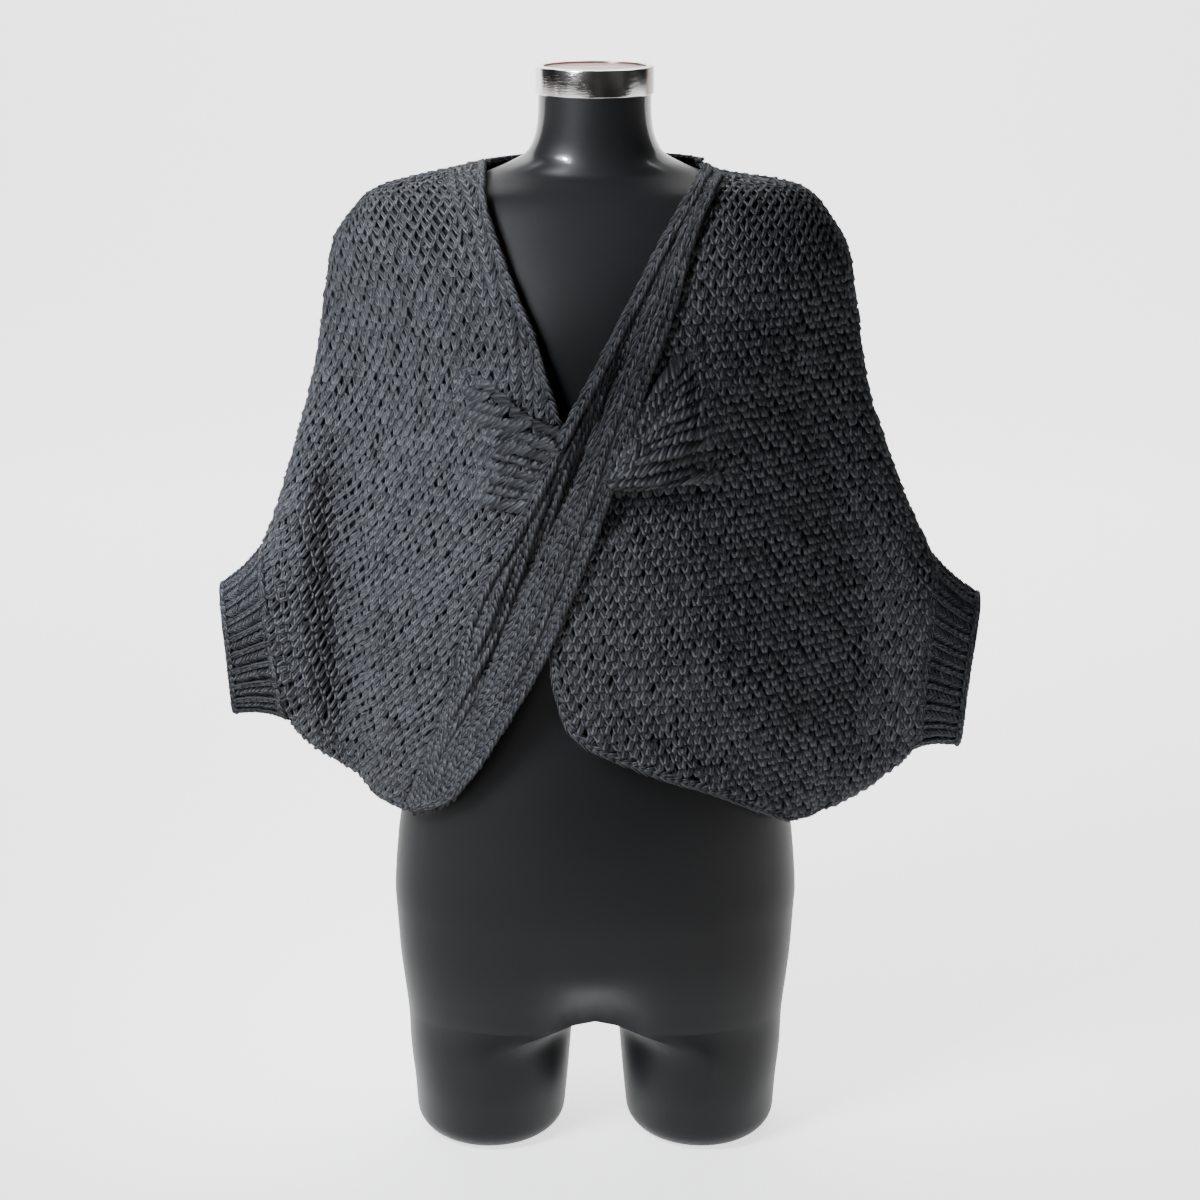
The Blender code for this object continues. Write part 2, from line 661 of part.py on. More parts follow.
def cuff_point(outer, mouth, row, share, front, inset):
    """A point of a cuff's ring, inset along the ring's own plane."""
    x, z = cuff_place(outer, mouth, row, share)
    top_x, top_z = cuff_place(outer, mouth, CUFF_TOP, share)
    bottom_x, bottom_z = cuff_place(outer, mouth, CUFF_BOTTOM, share)
    down = Vector((bottom_x - top_x, 0, bottom_z - top_z)).normalized()
    if row in (CUFF_TOP, CUFF_BOTTOM):
        return Vector((x, SEAM_Y, z)) + down * (inset if row == CUFF_TOP else -inset)
    reach = SLOPE_STEP
    ahead = half_depth(x + down.x * reach, z + down.z * reach, front)
    behind = half_depth(x - down.x * reach, z - down.z * reach, front)
    facing = -1 if front else 1
    outwards = (Vector((0, facing, 0)) - down * (ahead - behind) / (2 * reach)).normalized()
    return Vector((x, SEAM_Y + facing * half_depth(x, z, front), z)) - outwards * inset


def tucked(x, y, z):
    """A depth of the form drawn in about the middle, near the height of the crotch."""
    near = math.exp(-((x / TUCK_WIDTH) ** 2))
    height = 1 - ease(0, TUCK_HEIGHT, abs(z - CROTCH_Z))
    return y * (1 - CROTCH_TUCK * near * height)


def squared(value, z):
    """A sine or cosine pushed outwards, to square the hips' ring near the crotch."""
    power = mix(HIP_SQUARE, 1, ease(CROTCH_Z, HIP_TOP_Z, z))
    return math.copysign(abs(value) ** power, value)


def form_ring(ring):
    """One level loop of the form, an ellipse in front and another behind."""
    loop = []
    for i in range(FORM_SEGMENTS):
        angle = 2 * math.pi * i / FORM_SEGMENTS
        across, deep = squared(math.cos(angle), ring.z), squared(math.sin(angle), ring.z)
        x = ring.half * across
        y = deep * (ring.back if deep > 0 else ring.front)
        if y < 0:
            lobe = math.exp(-(((abs(x) - 0.062) / 0.042) ** 2) - ((ring.z - 0.615) / 0.052) ** 2)
            y -= BUST * lobe * min(-y / 0.04, 1)
        loop.append((x, tucked(x, y, ring.z), ring.z))
    return loop


def thigh_angles():
    """The directions round a thigh: its outer half from front to back, then its inside."""
    outer = FORM_SEGMENTS // 2
    angles = [math.pi * (i / outer - 0.5) for i in range(outer + 1)]
    return angles + [math.pi * (0.5 + j / (INNER_POINTS + 1)) for j in range(1, INNER_POINTS + 1)]


def thigh_ring(ring, side, inset):
    """One level loop of a thigh: half of the hips' ring at the crotch, an ellipse further down."""
    below = CROTCH_Z - ring.z
    arch = math.sqrt(1 - (1 - min(below / CROTCH_ARCH, 1)) ** 2)
    outside = ease(0, THIGH_MORPH, below)
    hips = FORM_RINGS[0]
    loop = []
    for angle in thigh_angles():
        across, deep = math.cos(angle), math.sin(angle)
        depth = (ring.back if deep > 0 else ring.front) - inset
        x, y = ring.centre + (ring.half - inset) * across, deep * depth
        if across < -0.001:
            x *= arch
        else:
            share = mix(outside, arch, deep**6)
            hip_depth = hips.back if deep > 0 else hips.front
            x = mix(hips.half * squared(across, hips.z) - inset, x, share)
            y = mix(squared(deep, hips.z) * hip_depth, y, share)
        loop.append((side * x, tucked(x, y, ring.z), ring.z))
    return loop


def lofted(name, loops, material):
    """A closed skin through level loops with the same number of points."""
    mesh = bpy.data.meshes.new(name)
    shape = bmesh.new()
    rings = [[shape.verts.new(point) for point in loop] for loop in loops]
    skin(shape, rings)
    shape.faces.new(rings[0][::-1])
    shape.faces.new(rings[-1])
    return finished(name, mesh, shape, material)


def torso(name, material):
    """The form in one skin: neck, chest and hips, then two short thighs with flat feet."""
    places = [step / 2 for step in range(11)]
    places += list(range(6, 21)) + [20.5] + list(range(21, len(FORM_RINGS)))
    mesh = bpy.data.meshes.new(name)
    shape = bmesh.new()
    rings = []
    for place in places:
        loop = form_ring(Ring(*along(FORM_RINGS, place)))
        rings.append([shape.verts.new(point) for point in loop])
    skin(shape, rings)
    shape.faces.new(rings[-1])
    quarter, hips = FORM_SEGMENTS // 4, rings[0]
    front = hips[-quarter]
    back = hips[quarter]
    crotch = []
    for j in range(1, INNER_POINTS + 1):
        middle = mix(back.co, front.co, 0.5 - 0.5 * math.cos(math.pi * j / (INNER_POINTS + 1)))
        crotch.append(shape.verts.new(middle))
    for side in (-1, 1):
        half = [hips[(side * i - (quarter if side > 0 else -3 * quarter)) % FORM_SEGMENTS]
                for i in range(2 * quarter + 1)]
        loops = [half + crotch]
        for ring, inset in thigh_levels():
            loops.append([shape.verts.new(point) for point in thigh_ring(ring, side, inset)])
        skin(shape, loops)
        shape.faces.new(loops[-1])
    return finished(name, mesh, shape, material)


def thigh_levels():
    """The thigh's rings from just below the crotch down to the rounded edge of its foot."""
    heights = [CROTCH_Z - CROTCH_ARCH * share for share in (0.05, 0.17, 0.37, 0.66, 1)]
    heights += [0.065, 0.050, 0.034, THIGH_ROUND]
    levels = [(ThighRing(*at_height(THIGH_RINGS, z)), 0.0) for z in heights]
    for step in range(1, 5):
        angle = math.pi * step / 8
        z = THIGH_ROUND * (1 - math.sin(angle))
        inset = THIGH_ROUND * (1 - math.cos(angle))
        levels.append((ThighRing(*at_height(THIGH_RINGS, z)), inset))
    return levels


def skin(shape, rings):
    """Faces between loops with the same number of points."""
    count = len(rings[0])
    for first, second in zip(rings, rings[1:]):
        for j in range(count):
            k = (j + 1) % count
            shape.faces.new((first[j], first[k], second[k], second[j]))


def turned(name, profile, material):
    """A ring or disc turned about the neck's axis from (radius, height) corners."""
    mesh = bpy.data.meshes.new(name)
    shape = bmesh.new()
    rings = []
    for radius, z in profile:
        ring = []
        for i in range(CAP_SEGMENTS):
            angle = 2 * math.pi * i / CAP_SEGMENTS
            ring.append(shape.verts.new((radius * math.cos(angle), radius * math.sin(angle), z)))
        rings.append(ring)
    skin(shape, rings + rings[:1])
    return finished(name, mesh, shape, material)


def neck_cap_band(name, material):
    low, high = CAP_BASE_Z + GAP, CAP_BASE_Z + CAP_HEIGHT
    inside = CAP_RADIUS - CAP_WALL
    profile = [
        (inside, low), (CAP_RADIUS - CAP_BEVEL, low), (CAP_RADIUS, low + CAP_BEVEL),
        (CAP_RADIUS, high - CAP_BEVEL), (CAP_RADIUS - CAP_BEVEL, high), (inside, high),
    ]
    return turned(name, profile, material)


def neck_cap_disc(name, material):
    radius = CAP_RADIUS - CAP_WALL - GAP
    low, high = CAP_BASE_Z + GAP, CAP_BASE_Z + CAP_HEIGHT - DISC_DROP
    loops = []
    for z, loop_radius in ((low, radius), (high - CAP_BEVEL, radius), (high, radius - CAP_BEVEL)):
        angles = [2 * math.pi * i / CAP_SEGMENTS for i in range(CAP_SEGMENTS)]
        loops.append([(loop_radius * math.cos(a), loop_radius * math.sin(a), z) for a in angles])
    return lofted(name, loops, material)


def material(name, colour, roughness, metallic=0.0):
    made = bpy.data.materials.new(name)
    made.use_nodes = True
    shader = made.node_tree.nodes["Principled BSDF"]
    shader.inputs["Base Color"].default_value = (*colour, 1)
    shader.inputs["Roughness"].default_value = roughness
    shader.inputs["Metallic"].default_value = metallic
    return made


def build():
    for obj in list(bpy.data.objects):
        bpy.data.objects.remove(obj)
    front_yarn = material("front_knit", (0.030, 0.031, 0.035), 0.92)
    back_yarn = material("back_knit", (0.028, 0.029, 0.033), 0.92)
    band_yarn = material("band_knit", (0.032, 0.033, 0.037), 0.90)
    rib_yarn = material("cuff_rib", (0.026, 0.027, 0.031), 0.92)
    gloss = material("black_gloss_plastic", (0.010, 0.010, 0.011), 0.28)
    chrome = material("cap_chrome", (0.80, 0.80, 0.82), 0.10, 1.0)
    stain = material("cap_top", (0.170, 0.045, 0.035), 0.35)
    torso("dress_form", gloss)
    neck_cap_band("neck_cap_band", chrome)
    neck_cap_disc("neck_cap_disc", stain)
    back_panel("back", back_yarn)
    front_panel("front_right", False, front_yarn)
    front_panel("front_left", True, front_yarn)
    crossing_band("crossing_band", band_yarn)
    cuff("cuff_right", OUTER_RIGHT, MOUTH_RIGHT, rib_yarn)
    cuff("cuff_left", OUTER_LEFT, MOUTH_LEFT, rib_yarn)


build()
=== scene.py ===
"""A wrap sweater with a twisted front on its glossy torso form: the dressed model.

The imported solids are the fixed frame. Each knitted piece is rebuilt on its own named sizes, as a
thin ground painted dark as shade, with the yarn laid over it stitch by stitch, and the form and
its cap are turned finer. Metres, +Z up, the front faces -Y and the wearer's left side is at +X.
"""

import logging
import math
from dataclasses import dataclass, field, replace
from enum import Enum
from functools import cache
from typing import Any, Callable, Iterable, Sequence

import bmesh
import bpy
import numpy as np
from bmesh.types import BMesh
from bpy.types import Material, Mesh, Node, NodeSocket, NodeTree, Object
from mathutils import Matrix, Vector


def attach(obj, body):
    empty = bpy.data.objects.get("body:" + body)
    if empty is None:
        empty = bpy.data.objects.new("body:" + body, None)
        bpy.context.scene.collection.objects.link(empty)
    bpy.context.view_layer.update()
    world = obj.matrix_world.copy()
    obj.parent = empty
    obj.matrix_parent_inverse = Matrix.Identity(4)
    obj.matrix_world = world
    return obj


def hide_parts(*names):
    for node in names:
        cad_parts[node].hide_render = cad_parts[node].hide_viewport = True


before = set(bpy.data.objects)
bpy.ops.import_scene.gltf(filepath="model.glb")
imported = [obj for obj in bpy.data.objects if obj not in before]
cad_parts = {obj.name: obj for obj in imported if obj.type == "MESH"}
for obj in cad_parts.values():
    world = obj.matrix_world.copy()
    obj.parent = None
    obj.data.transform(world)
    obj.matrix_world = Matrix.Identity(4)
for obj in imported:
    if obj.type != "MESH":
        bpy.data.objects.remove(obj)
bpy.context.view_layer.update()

LOG = logging.getLogger("wrap_sweater")
Array = np.ndarray
Pairs = Sequence[Sequence[float]]
Pair = tuple[float, float]
Triple = tuple[float, float, float]


class Face(Enum):
    """Which half of the sweater, told from the seam plane."""

    FRONT = -1
    BACK = 1


class Side(Enum):
    """The wearer's right or left."""

    RIGHT = -1
    LEFT = 1


# -------- small mathematics


def ease(low: float, high: float, value: Any) -> Any:
    """Rise smoothly from 0 below low to 1 above high.

    Args:
        low: Where the rise starts.
        high: Where it ends.
        value: A number or an array.

    Returns:
        The eased share, shaped as value.
    """
    share = np.clip((np.asarray(value, float) - low) / (high - low), 0.0, 1.0)
    return share * share * (3 - 2 * share)


def between(start: float, full: float, fading: float, end: float, value: Any) -> Any:
    """Rise smoothly from 0 to 1 over the first two values and fall back over the last two."""
    return ease(start, full, value) * (1 - ease(fading, end, value))


def mix(a: Any, b: Any, share: Any) -> Any:
    """Blend a into b by share."""
    return a + (b - a) * share


def unit(vectors: Array) -> Array:
    """Scale each row of an array of vectors to length 1."""
    length = np.linalg.norm(vectors, axis=-1, keepdims=True)
    return vectors / np.maximum(length, 1e-12)


def along(points: Pairs, place: Any) -> Array:
    """Read a smooth curve through a table's rows at one or many places.

    Args:
        points: The table's rows.
        place: Row numbers, with fractions between rows.

    Returns:
        The points found, one row for each place.
    """
    table = np.asarray(points, float)
    last = len(table) - 1
    place = np.asarray(place, float)
    index = np.clip(place.astype(int), 0, last - 1)
    share = (place - index)[..., None]
    a, b = table[np.maximum(index - 1, 0)], table[index]
    c, d = table[index + 1], table[np.minimum(index + 2, last)]
    bend = (2 * a - 5 * b + 4 * c - d) * share + (c - a)
    return b + 0.5 * share * (bend + (3 * (b - c) + d - a) * share * share)


def steps(first: float, last: float, each: int) -> Array:
    """List places between two rows, so many to each row."""
    return np.linspace(first, last, max(1, round((last - first) * each)) + 1)


def inside(x: Array, z: Array, outline: Array) -> Array:
    """Tell which flat points lie inside a closed outline.

    Args:
        x: Places across.
        z: Heights, shaped as x.
        outline: The outline's corners.

    Returns:
        True where a point is inside.
    """
    found = np.zeros(np.shape(x), bool)
    for (ax, az), (bx, bz) in zip(outline, np.roll(outline, -1, axis=0)):
        if az != bz:
            crossing = ax + (z - az) * (bx - ax) / (bz - az)
            found ^= ((z >= az) != (z >= bz)) & (x < crossing)
    return found


def distance_to_run(x: Array, z: Array, run: Array) -> Array:
    """Measure from flat points to the nearest place on a run of straight pieces."""
    nearest = np.full(np.shape(x), 1.0)
    for (ax, az), (bx, bz) in zip(run, run[1:]):
        dx, dz = bx - ax, bz - az
        square = max(dx * dx + dz * dz, 1e-12)
        share = np.clip(((x - ax) * dx + (z - az) * dz) / square, 0.0, 1.0)
        nearest = np.minimum(nearest, np.hypot(x - ax - share * dx, z - az - share * dz))
    return nearest


def run_lengths(path: Array) -> Array:
    """Measure the distance from a path's start to each of its points."""
    return np.concatenate([[0.0], np.cumsum(np.linalg.norm(np.diff(path, axis=0), axis=1))])


def even_run(path: Array, spacing: float) -> Array:
    """Choose evenly spaced places along a path in space.

    Args:
        path: The path's points.
        spacing: The wanted distance between places.

    Returns:
        Fractional row numbers into the path, first and last kept.
    """
    lengths = run_lengths(path)
    count = max(2, round(lengths[-1] / spacing)) + 1
    return np.interp(np.linspace(0, lengths[-1], count), lengths, np.arange(len(path)))


def rows_at(table: Array, places: Array) -> Array:
    """Read a table's rows at fractional row numbers by straight lines."""
    count = np.arange(len(table))
    return np.stack([np.interp(places, count, column) for column in table.T], axis=1)


def columns_at(table: Pairs, place: Any) -> list[Any]:
    """Read a table's later columns by straight lines, where its first holds the places."""
    held = np.asarray(table, float).T
    return [np.interp(place, held[0], column) for column in held[1:]]


def mm(*rows: Sequence[float]) -> Pairs:
    """Turn a table's rows from millimetres into metres."""
    return tuple(tuple(value / 1000 for value in row) for row in rows)


def in_mm(kind: type, *rows: Sequence[float]) -> tuple[Any, ...]:
    """Make one thing of a kind from each row in millimetres."""
    return tuple(kind(*row) for row in mm(*rows))


# -------- the sweater's form


@dataclass(frozen=True)
class Line:
    """A straight line over the flat front or back."""

    x0: float
    z0: float
    x1: float
    z1: float

    def measured(self, x: Array, z: Array) -> tuple[Array, Array]:
        """Give flat points' shares of the way along it and their distances above it."""
        dx, dz = self.x1 - self.x0, self.z1 - self.z0
        length = math.hypot(dx, dz)
        share = ((x - self.x0) * dx + (z - self.z0) * dz) / length**2
        return share, ((z - self.z0) * dx - (x - self.x0) * dz) / length


@dataclass(frozen=True)
class Fold(Line):
    """A soft ridge (rise above 0) or trough along a line, half_width to each side."""

    rise: float
    half_width: float

    def lift(self, x: Array, z: Array) -> Array:
        """Give its height at flat points."""
        share, aside = self.measured(x, z)
        fade = between(-0.15, 0.25, 0.75, 1.15, share)
        return self.rise * fade * np.exp(-((aside / self.half_width) ** 2))


@dataclass(frozen=True)
class Step(Line):
    """A layer's edge along a line: cloth above it moves by over, cloth below it by under."""

    over: float
    under: float
    reach: float
    sharp: float = 0.006

    def lift(self, x: Array, z: Array) -> Array:
        """Give its height at flat points."""
        share, above = self.measured(x, z)
        from_middle = share if self.x0 > 0 else 1 - share
        fade = between(-0.35, -0.05, 0.45, 1.1, from_middle)
        side = mix(self.under, self.over, ease(-self.sharp, self.sharp, above))
        return side * fade * (1 - ease(0.25 * self.reach, self.reach, np.abs(above)))


@dataclass(frozen=True)
class SweaterForm:
    """The worn sweater's sizes, from which each face's depth and every edge is worked out."""

    seam_y: float = 0.004
    gap: float = 0.0003
    wing_half: float = 0.027
    wing_round: float = 0.046
    neck_half: float = 0.087
    cover_start: float = 7.8
    under_lap: float = 0.007
    butt_gap: float = 0.0005
    band_proud: float = 0.0042
    band_crown: float = 0.0035
    band_hollow: float = 0.0120
    cuff_top: int = 8
    cuff_bottom: int = 12
    hem: int = 16
    # height, depth in front, depth behind, half width, and roundness in thousandths
    levels: Pairs = mm(
        (260, 112, 128, 180, 650), (300, 113, 127, 190, 700), (360, 115, 123, 212, 850),
        (430, 118, 115, 230, 1050), (500, 122, 109, 230, 1150), (540, 125, 108, 227, 1200),
        (580, 127, 107, 221, 1200), (620, 127, 106, 215, 1200), (660, 123, 104, 209, 1080),
        (700, 111, 101, 205, 880), (735, 98, 97, 203, 660), (755, 88, 91, 200, 560),
        (771, 80, 85, 195, 520), (783, 73, 80, 185, 500), (791, 68, 75, 175, 500),
        (798.5, 63, 69, 160, 500), (805.5, 57, 63.5, 120, 500), (814.5, 50, 57.5, 87, 500),
    )
    ridge_right: Pairs = mm(
        (-87, 816), (-103, 812.5), (-119, 809), (-147, 803), (-166, 797.5), (-180, 790.5),
    )
    ridge_left: Pairs = mm(
        (87, 814.5), (100, 808), (120, 804.5), (139, 802.2), (154, 799.8), (166, 795),
        (176, 786.5),
    )
    outer_right: Pairs = mm(
        (-180, 790.5), (-203, 760), (-211.5, 722), (-218.5, 676), (-228, 633), (-239, 596),
        (-249.5, 561), (-260, 530), (-268, 508), (-265.5, 470), (-262, 431), (-257, 394),
        (-252, 360), (-235, 338.5), (-215, 325), (-199, 315), (-187, 304),
    )
    outer_left: Pairs = mm(
        (176, 786.5), (198, 752), (205.5, 710), (212, 666), (220.5, 627), (233, 592),
        (245.5, 560), (259, 529), (272, 500), (270, 459), (267, 418), (264, 376), (261, 334),
        (237, 310), (215, 294), (201, 286), (190, 282),
    )
    mouth_right: Pairs = mm((-305, 474.5), (-297.5, 365))
    mouth_left: Pairs = mm((313, 466.5), (300, 337))
    mouth_hollow: float = 0.003
    cuff_pinch: float = 0.004
    neckline: Pairs = mm((-87, 816), (-84, 790), (-75, 764), (-61, 729), (-46, 695), (-34, 656))
    left_free_edge: Pairs = mm((-28.5, 418), (-13, 382), (40, 354), (100, 327), (156, 292))
    # the crossing band's left and right edge, from the shoulder seam to the hem
    band: Pairs = mm(
        (87, 814.5, 96, 809.2), (79, 803, 87, 798), (67, 788, 78, 782), (52, 764, 68, 756),
        (34, 732, 58, 722), (16, 700, 46, 690), (0, 670, 34, 658), (-15.5, 642, 24, 626),
        (-29, 614, 13.5, 594), (-43, 583, 3.5, 562), (-61, 547, -8, 528), (-80, 513, -20, 496),
        (-96, 474, -34, 460), (-106, 434, -51, 425), (-118, 393, -72, 388), (-132, 354, -93, 353),
        (-150.5, 302, -112, 327),
    )
    front_folds: Sequence[Fold] = in_mm(Fold,
        (-210, 590, -203, 335, -19, 19), (-178, 560, -172, 330, 7, 11),
        (-100, 640, -40, 600, 4, 12), (-170, 470, -110, 350, 4, 22), (100, 640, 30, 600, 5, 12),
        (150, 690, 50, 625, 4, 20), (60, 480, 190, 330, 5, 30), (228, 520, 222, 340, -6, 22),
        (0, 440, 110, 345, -4, 20),
        # the gathers that run out of the twist
        (-18, 615, -82, 639, 2, 4.2), (-22, 604, -86, 621, 2.4, 4.4),
        (-28, 592, -90, 604, 2.4, 4.4), (-34, 580, -92, 587, 2.2, 4.6),
        (-42, 568, -96, 570, 1.8, 4.8), (12, 602, 70, 648, 3, 6), (12, 596, 90, 623, 3.2, 6),
        (22, 615, 60, 680, 2.4, 6),
    )
    front_steps: Sequence[Step] = in_mm(Step,
        (-105, 668, -22, 622, -2, 5, 40), (6, 588, 112, 588, 4, -9, 48),
        # the same layers' edges, crisper than the solids hold them
        (-112, 674, -22, 623, -2, 2.2, 16, 2.2), (6, 588, 108, 587, 2.8, -2.4, 18, 2.2),
    )
    back_folds: Sequence[Fold] = in_mm(Fold,
        (-200, 600, -203, 390, -7, 22), (206, 600, 210, 370, -7, 22),
        (-90, 690, -150, 420, 5, 26), (80, 700, 150, 400, 5, 26), (10, 640, -20, 330, -5, 35),
        (-60, 500, -90, 310, 4, 24), (70, 480, 85, 300, 4, 24),
    )

    def ridge(self, side: Side) -> Pairs:
        """Give one shoulder seam."""
        return self.ridge_left if side is Side.LEFT else self.ridge_right

    def outer(self, side: Side) -> Pairs:
        """Give one outer edge."""
        return self.outer_left if side is Side.LEFT else self.outer_right

    def mouth(self, side: Side) -> Pairs:
        """Give the top and bottom of one cuff's mouth."""
        return self.mouth_left if side is Side.LEFT else self.mouth_right

    def ridge_run(self, side: Side) -> Array:
        """Give one shoulder seam's flat points, from the sleeve to the neck."""
        x = np.linspace(self.outer(side)[0][0], self.ridge(side)[0][0], 20)[1:]
        return np.stack([x, self.shoulder_height(side, x)], axis=1)

    def side_runs(self, side: Side) -> tuple[Array, Array]:
        """Give the runs over shoulder, sleeve and cuff, and from under the cuff to the hem."""
        ridge, outer, mouth = self.ridge(side), self.outer(side), np.array(self.mouth(side))
        upper = np.concatenate([
            along(ridge, steps(0, len(ridge) - 1, 6)), along(outer, steps(0, self.cuff_top, 6)),
            mouth[:1], mouth[:1] * (1.3, 1),
        ])
        lower = np.concatenate([
            mouth[1:] * (1.3, 1), mouth[1:], along(outer, steps(self.cuff_bottom, self.hem, 6)),
        ])
        return upper, lower

    def shoulder(self, side: Side) -> Array:
        """Give the shoulder seam and the top of the sleeve as (distance from middle, height)."""
        ridge, outer = self.ridge(side), self.outer(side)
        rows = np.concatenate([along(ridge, steps(0, len(ridge) - 1, 6)),
                               along(outer, steps(0, 2, 6))])
        return np.abs(rows)

    def shoulder_height(self, side: Side, x: Any) -> Any:
        """Give the shoulder seam's height at a distance from the middle."""
        rows = self.shoulder(side)
        rows = rows[np.argsort(rows[:, 0])]
        return np.interp(np.abs(x), rows[:, 0], rows[:, 1])

    def edge_distance(self, x: Array, z: Array) -> Array:
        """Measure from flat points to the nearest outer edge of their own side."""
        right, left = (np.minimum(*(distance_to_run(x, z, run) for run in self.side_runs(side)))
                       for side in Side)
        return np.where(x >= 0, left, right)

    def half_depth(self, x: Array, z: Array, face: Face) -> Array:
        """Give the distance from the seam plane to the cloth's outer face, with no folds."""
        front, back, level_reach, power = columns_at(self.levels, z)
        reaches = []
        for side in Side:
            rows = self.shoulder(side)
            rows = rows[np.argsort(rows[:, 1])]
            reaches.append(np.interp(z, rows[:, 1], rows[:, 0]))
        shoulder = np.where(x >= 0, reaches[1], reaches[0])
        reach = mix(level_reach, shoulder, ease(0.700, 0.745, z))
        depth = front + self.seam_y if face is Face.FRONT else back - self.seam_y
        bulge = depth * np.maximum(1 - (x / reach) ** 2, 0.0) ** power
        rise = 1 - np.minimum(self.edge_distance(x, z) / self.wing_round, 1.0)
        wing = self.wing_half * np.sqrt(1 - rise * rise)
        return np.cbrt(bulge**3 + wing**3)

    def relief(self, x: Array, z: Array, face: Face) -> Array:
        """Give the height of the folds and layer edges at flat points."""
        lifts: Iterable[Any] = self.back_folds
        if face is Face.FRONT:
            lifts = (*self.front_folds, *self.front_steps)
        total = sum(fold.lift(x, z) for fold in lifts)
        return total * ease(0.0, 0.035, self.edge_distance(x, z))

    def silhouette(self) -> Array:
        """Give the outline of body and cuffs, open at the neck and at the hem."""
        right_top, right_low = self.side_runs(Side.RIGHT)
        left_top, left_low = self.side_runs(Side.LEFT)
        return np.concatenate([
            [(-self.neck_half, 0.90)], right_top[:-1], right_low[1:], [(right_low[-1][0], 0.20)],
            [(left_low[-1][0], 0.20)], left_low[:0:-1], left_top[-2::-1], [(self.neck_half, 0.90)],
        ])

    def beside_band(self, row: Any, left_edge: bool, lap: Any) -> Array:
        """Give points beside one edge of the band, or beneath it by lap."""
        table = along(self.band, row)
        left, right = table[..., :2], table[..., 2:]
        inwards = unit(right - left) * (1 if left_edge else -1)
        return (left if left_edge else right) + inwards * np.asarray(lap)[..., None]

    def inner_edge(self, side: Side, rows: Array) -> Array:
        """Give a front's inner edge: neckline or band margin first, then band or free edge.

        Args:
            side: Which front.
            rows: Row numbers from 0 at the shoulder to hem.

        Returns:
            One flat point for each row.
        """
        rows = np.asarray(rows, float)
        if side is Side.RIGHT:
            last = len(self.neckline)
            start = self.beside_band(self.cover_start, True, self.under_lap)
            upper = along([*self.neckline, start], np.minimum(rows, last))
            place = mix(self.cover_start, len(self.band) - 1, (rows - last) / (self.hem - last))
            lap = mix(self.under_lap, -self.butt_gap, ease(10, 12, rows))
            lower = self.beside_band(np.maximum(place, 0), True, lap)
            return np.where((rows < last)[:, None], upper, lower)
        covered = self.cuff_bottom - 1
        start = self.beside_band(covered + 1.0, False, 0.0)
        lower = along([start, *self.left_free_edge], np.maximum(rows - covered, 0))
        lap = mix(-self.butt_gap, self.under_lap, ease(1.2, 2.2, rows))
        lap = lap * (1 - ease(9, covered, rows))
        upper = self.beside_band(np.minimum(rows, covered) * (covered + 1) / covered, False, lap)
        return np.where((rows > covered)[:, None], lower, upper)

    def front_outline(self, side: Side) -> Array:
        """Give one front's closed flat outline."""
        rows = steps(0, self.hem, 8)
        return np.concatenate([self.inner_edge(side, rows), along(self.outer(side), rows[::-1]),
                               self.ridge_run(side)[:-1]])

    def back_outline(self) -> Array:
        """Give the back's closed flat outline."""
        rows = steps(0, self.hem, 8)
        return np.concatenate([along(self.outer_right, rows), along(self.outer_left, rows[::-1]),
                               self.ridge_run(Side.LEFT), self.ridge_run(Side.RIGHT)[::-1]])

    def cuff_place(self, side: Side, row: Array, share: Array) -> Array:
        """Give flat points of a cuff: share is 0 at the seam and 1 at the mouth."""
        down = (row - self.cuff_top) / (self.cuff_bottom - self.cuff_top)
        seam = along(self.outer(side), row)
        top, bottom = self.mouth(side)
        turn = side.value
        mouth_x = mix(top[0], bottom[0], down) - turn * self.mouth_hollow * 4 * down * (1 - down)
        mouth_z = mix(top[1], bottom[1], down)
        pinch = self.cuff_pinch * 4 * share * (1 - share) * (2 * down - 1)
        x = mix(seam[..., 0], mouth_x, share) + turn * self.gap * (1 - share)
        return np.stack([x, mix(seam[..., 1], mouth_z, share) + pinch], axis=-1)


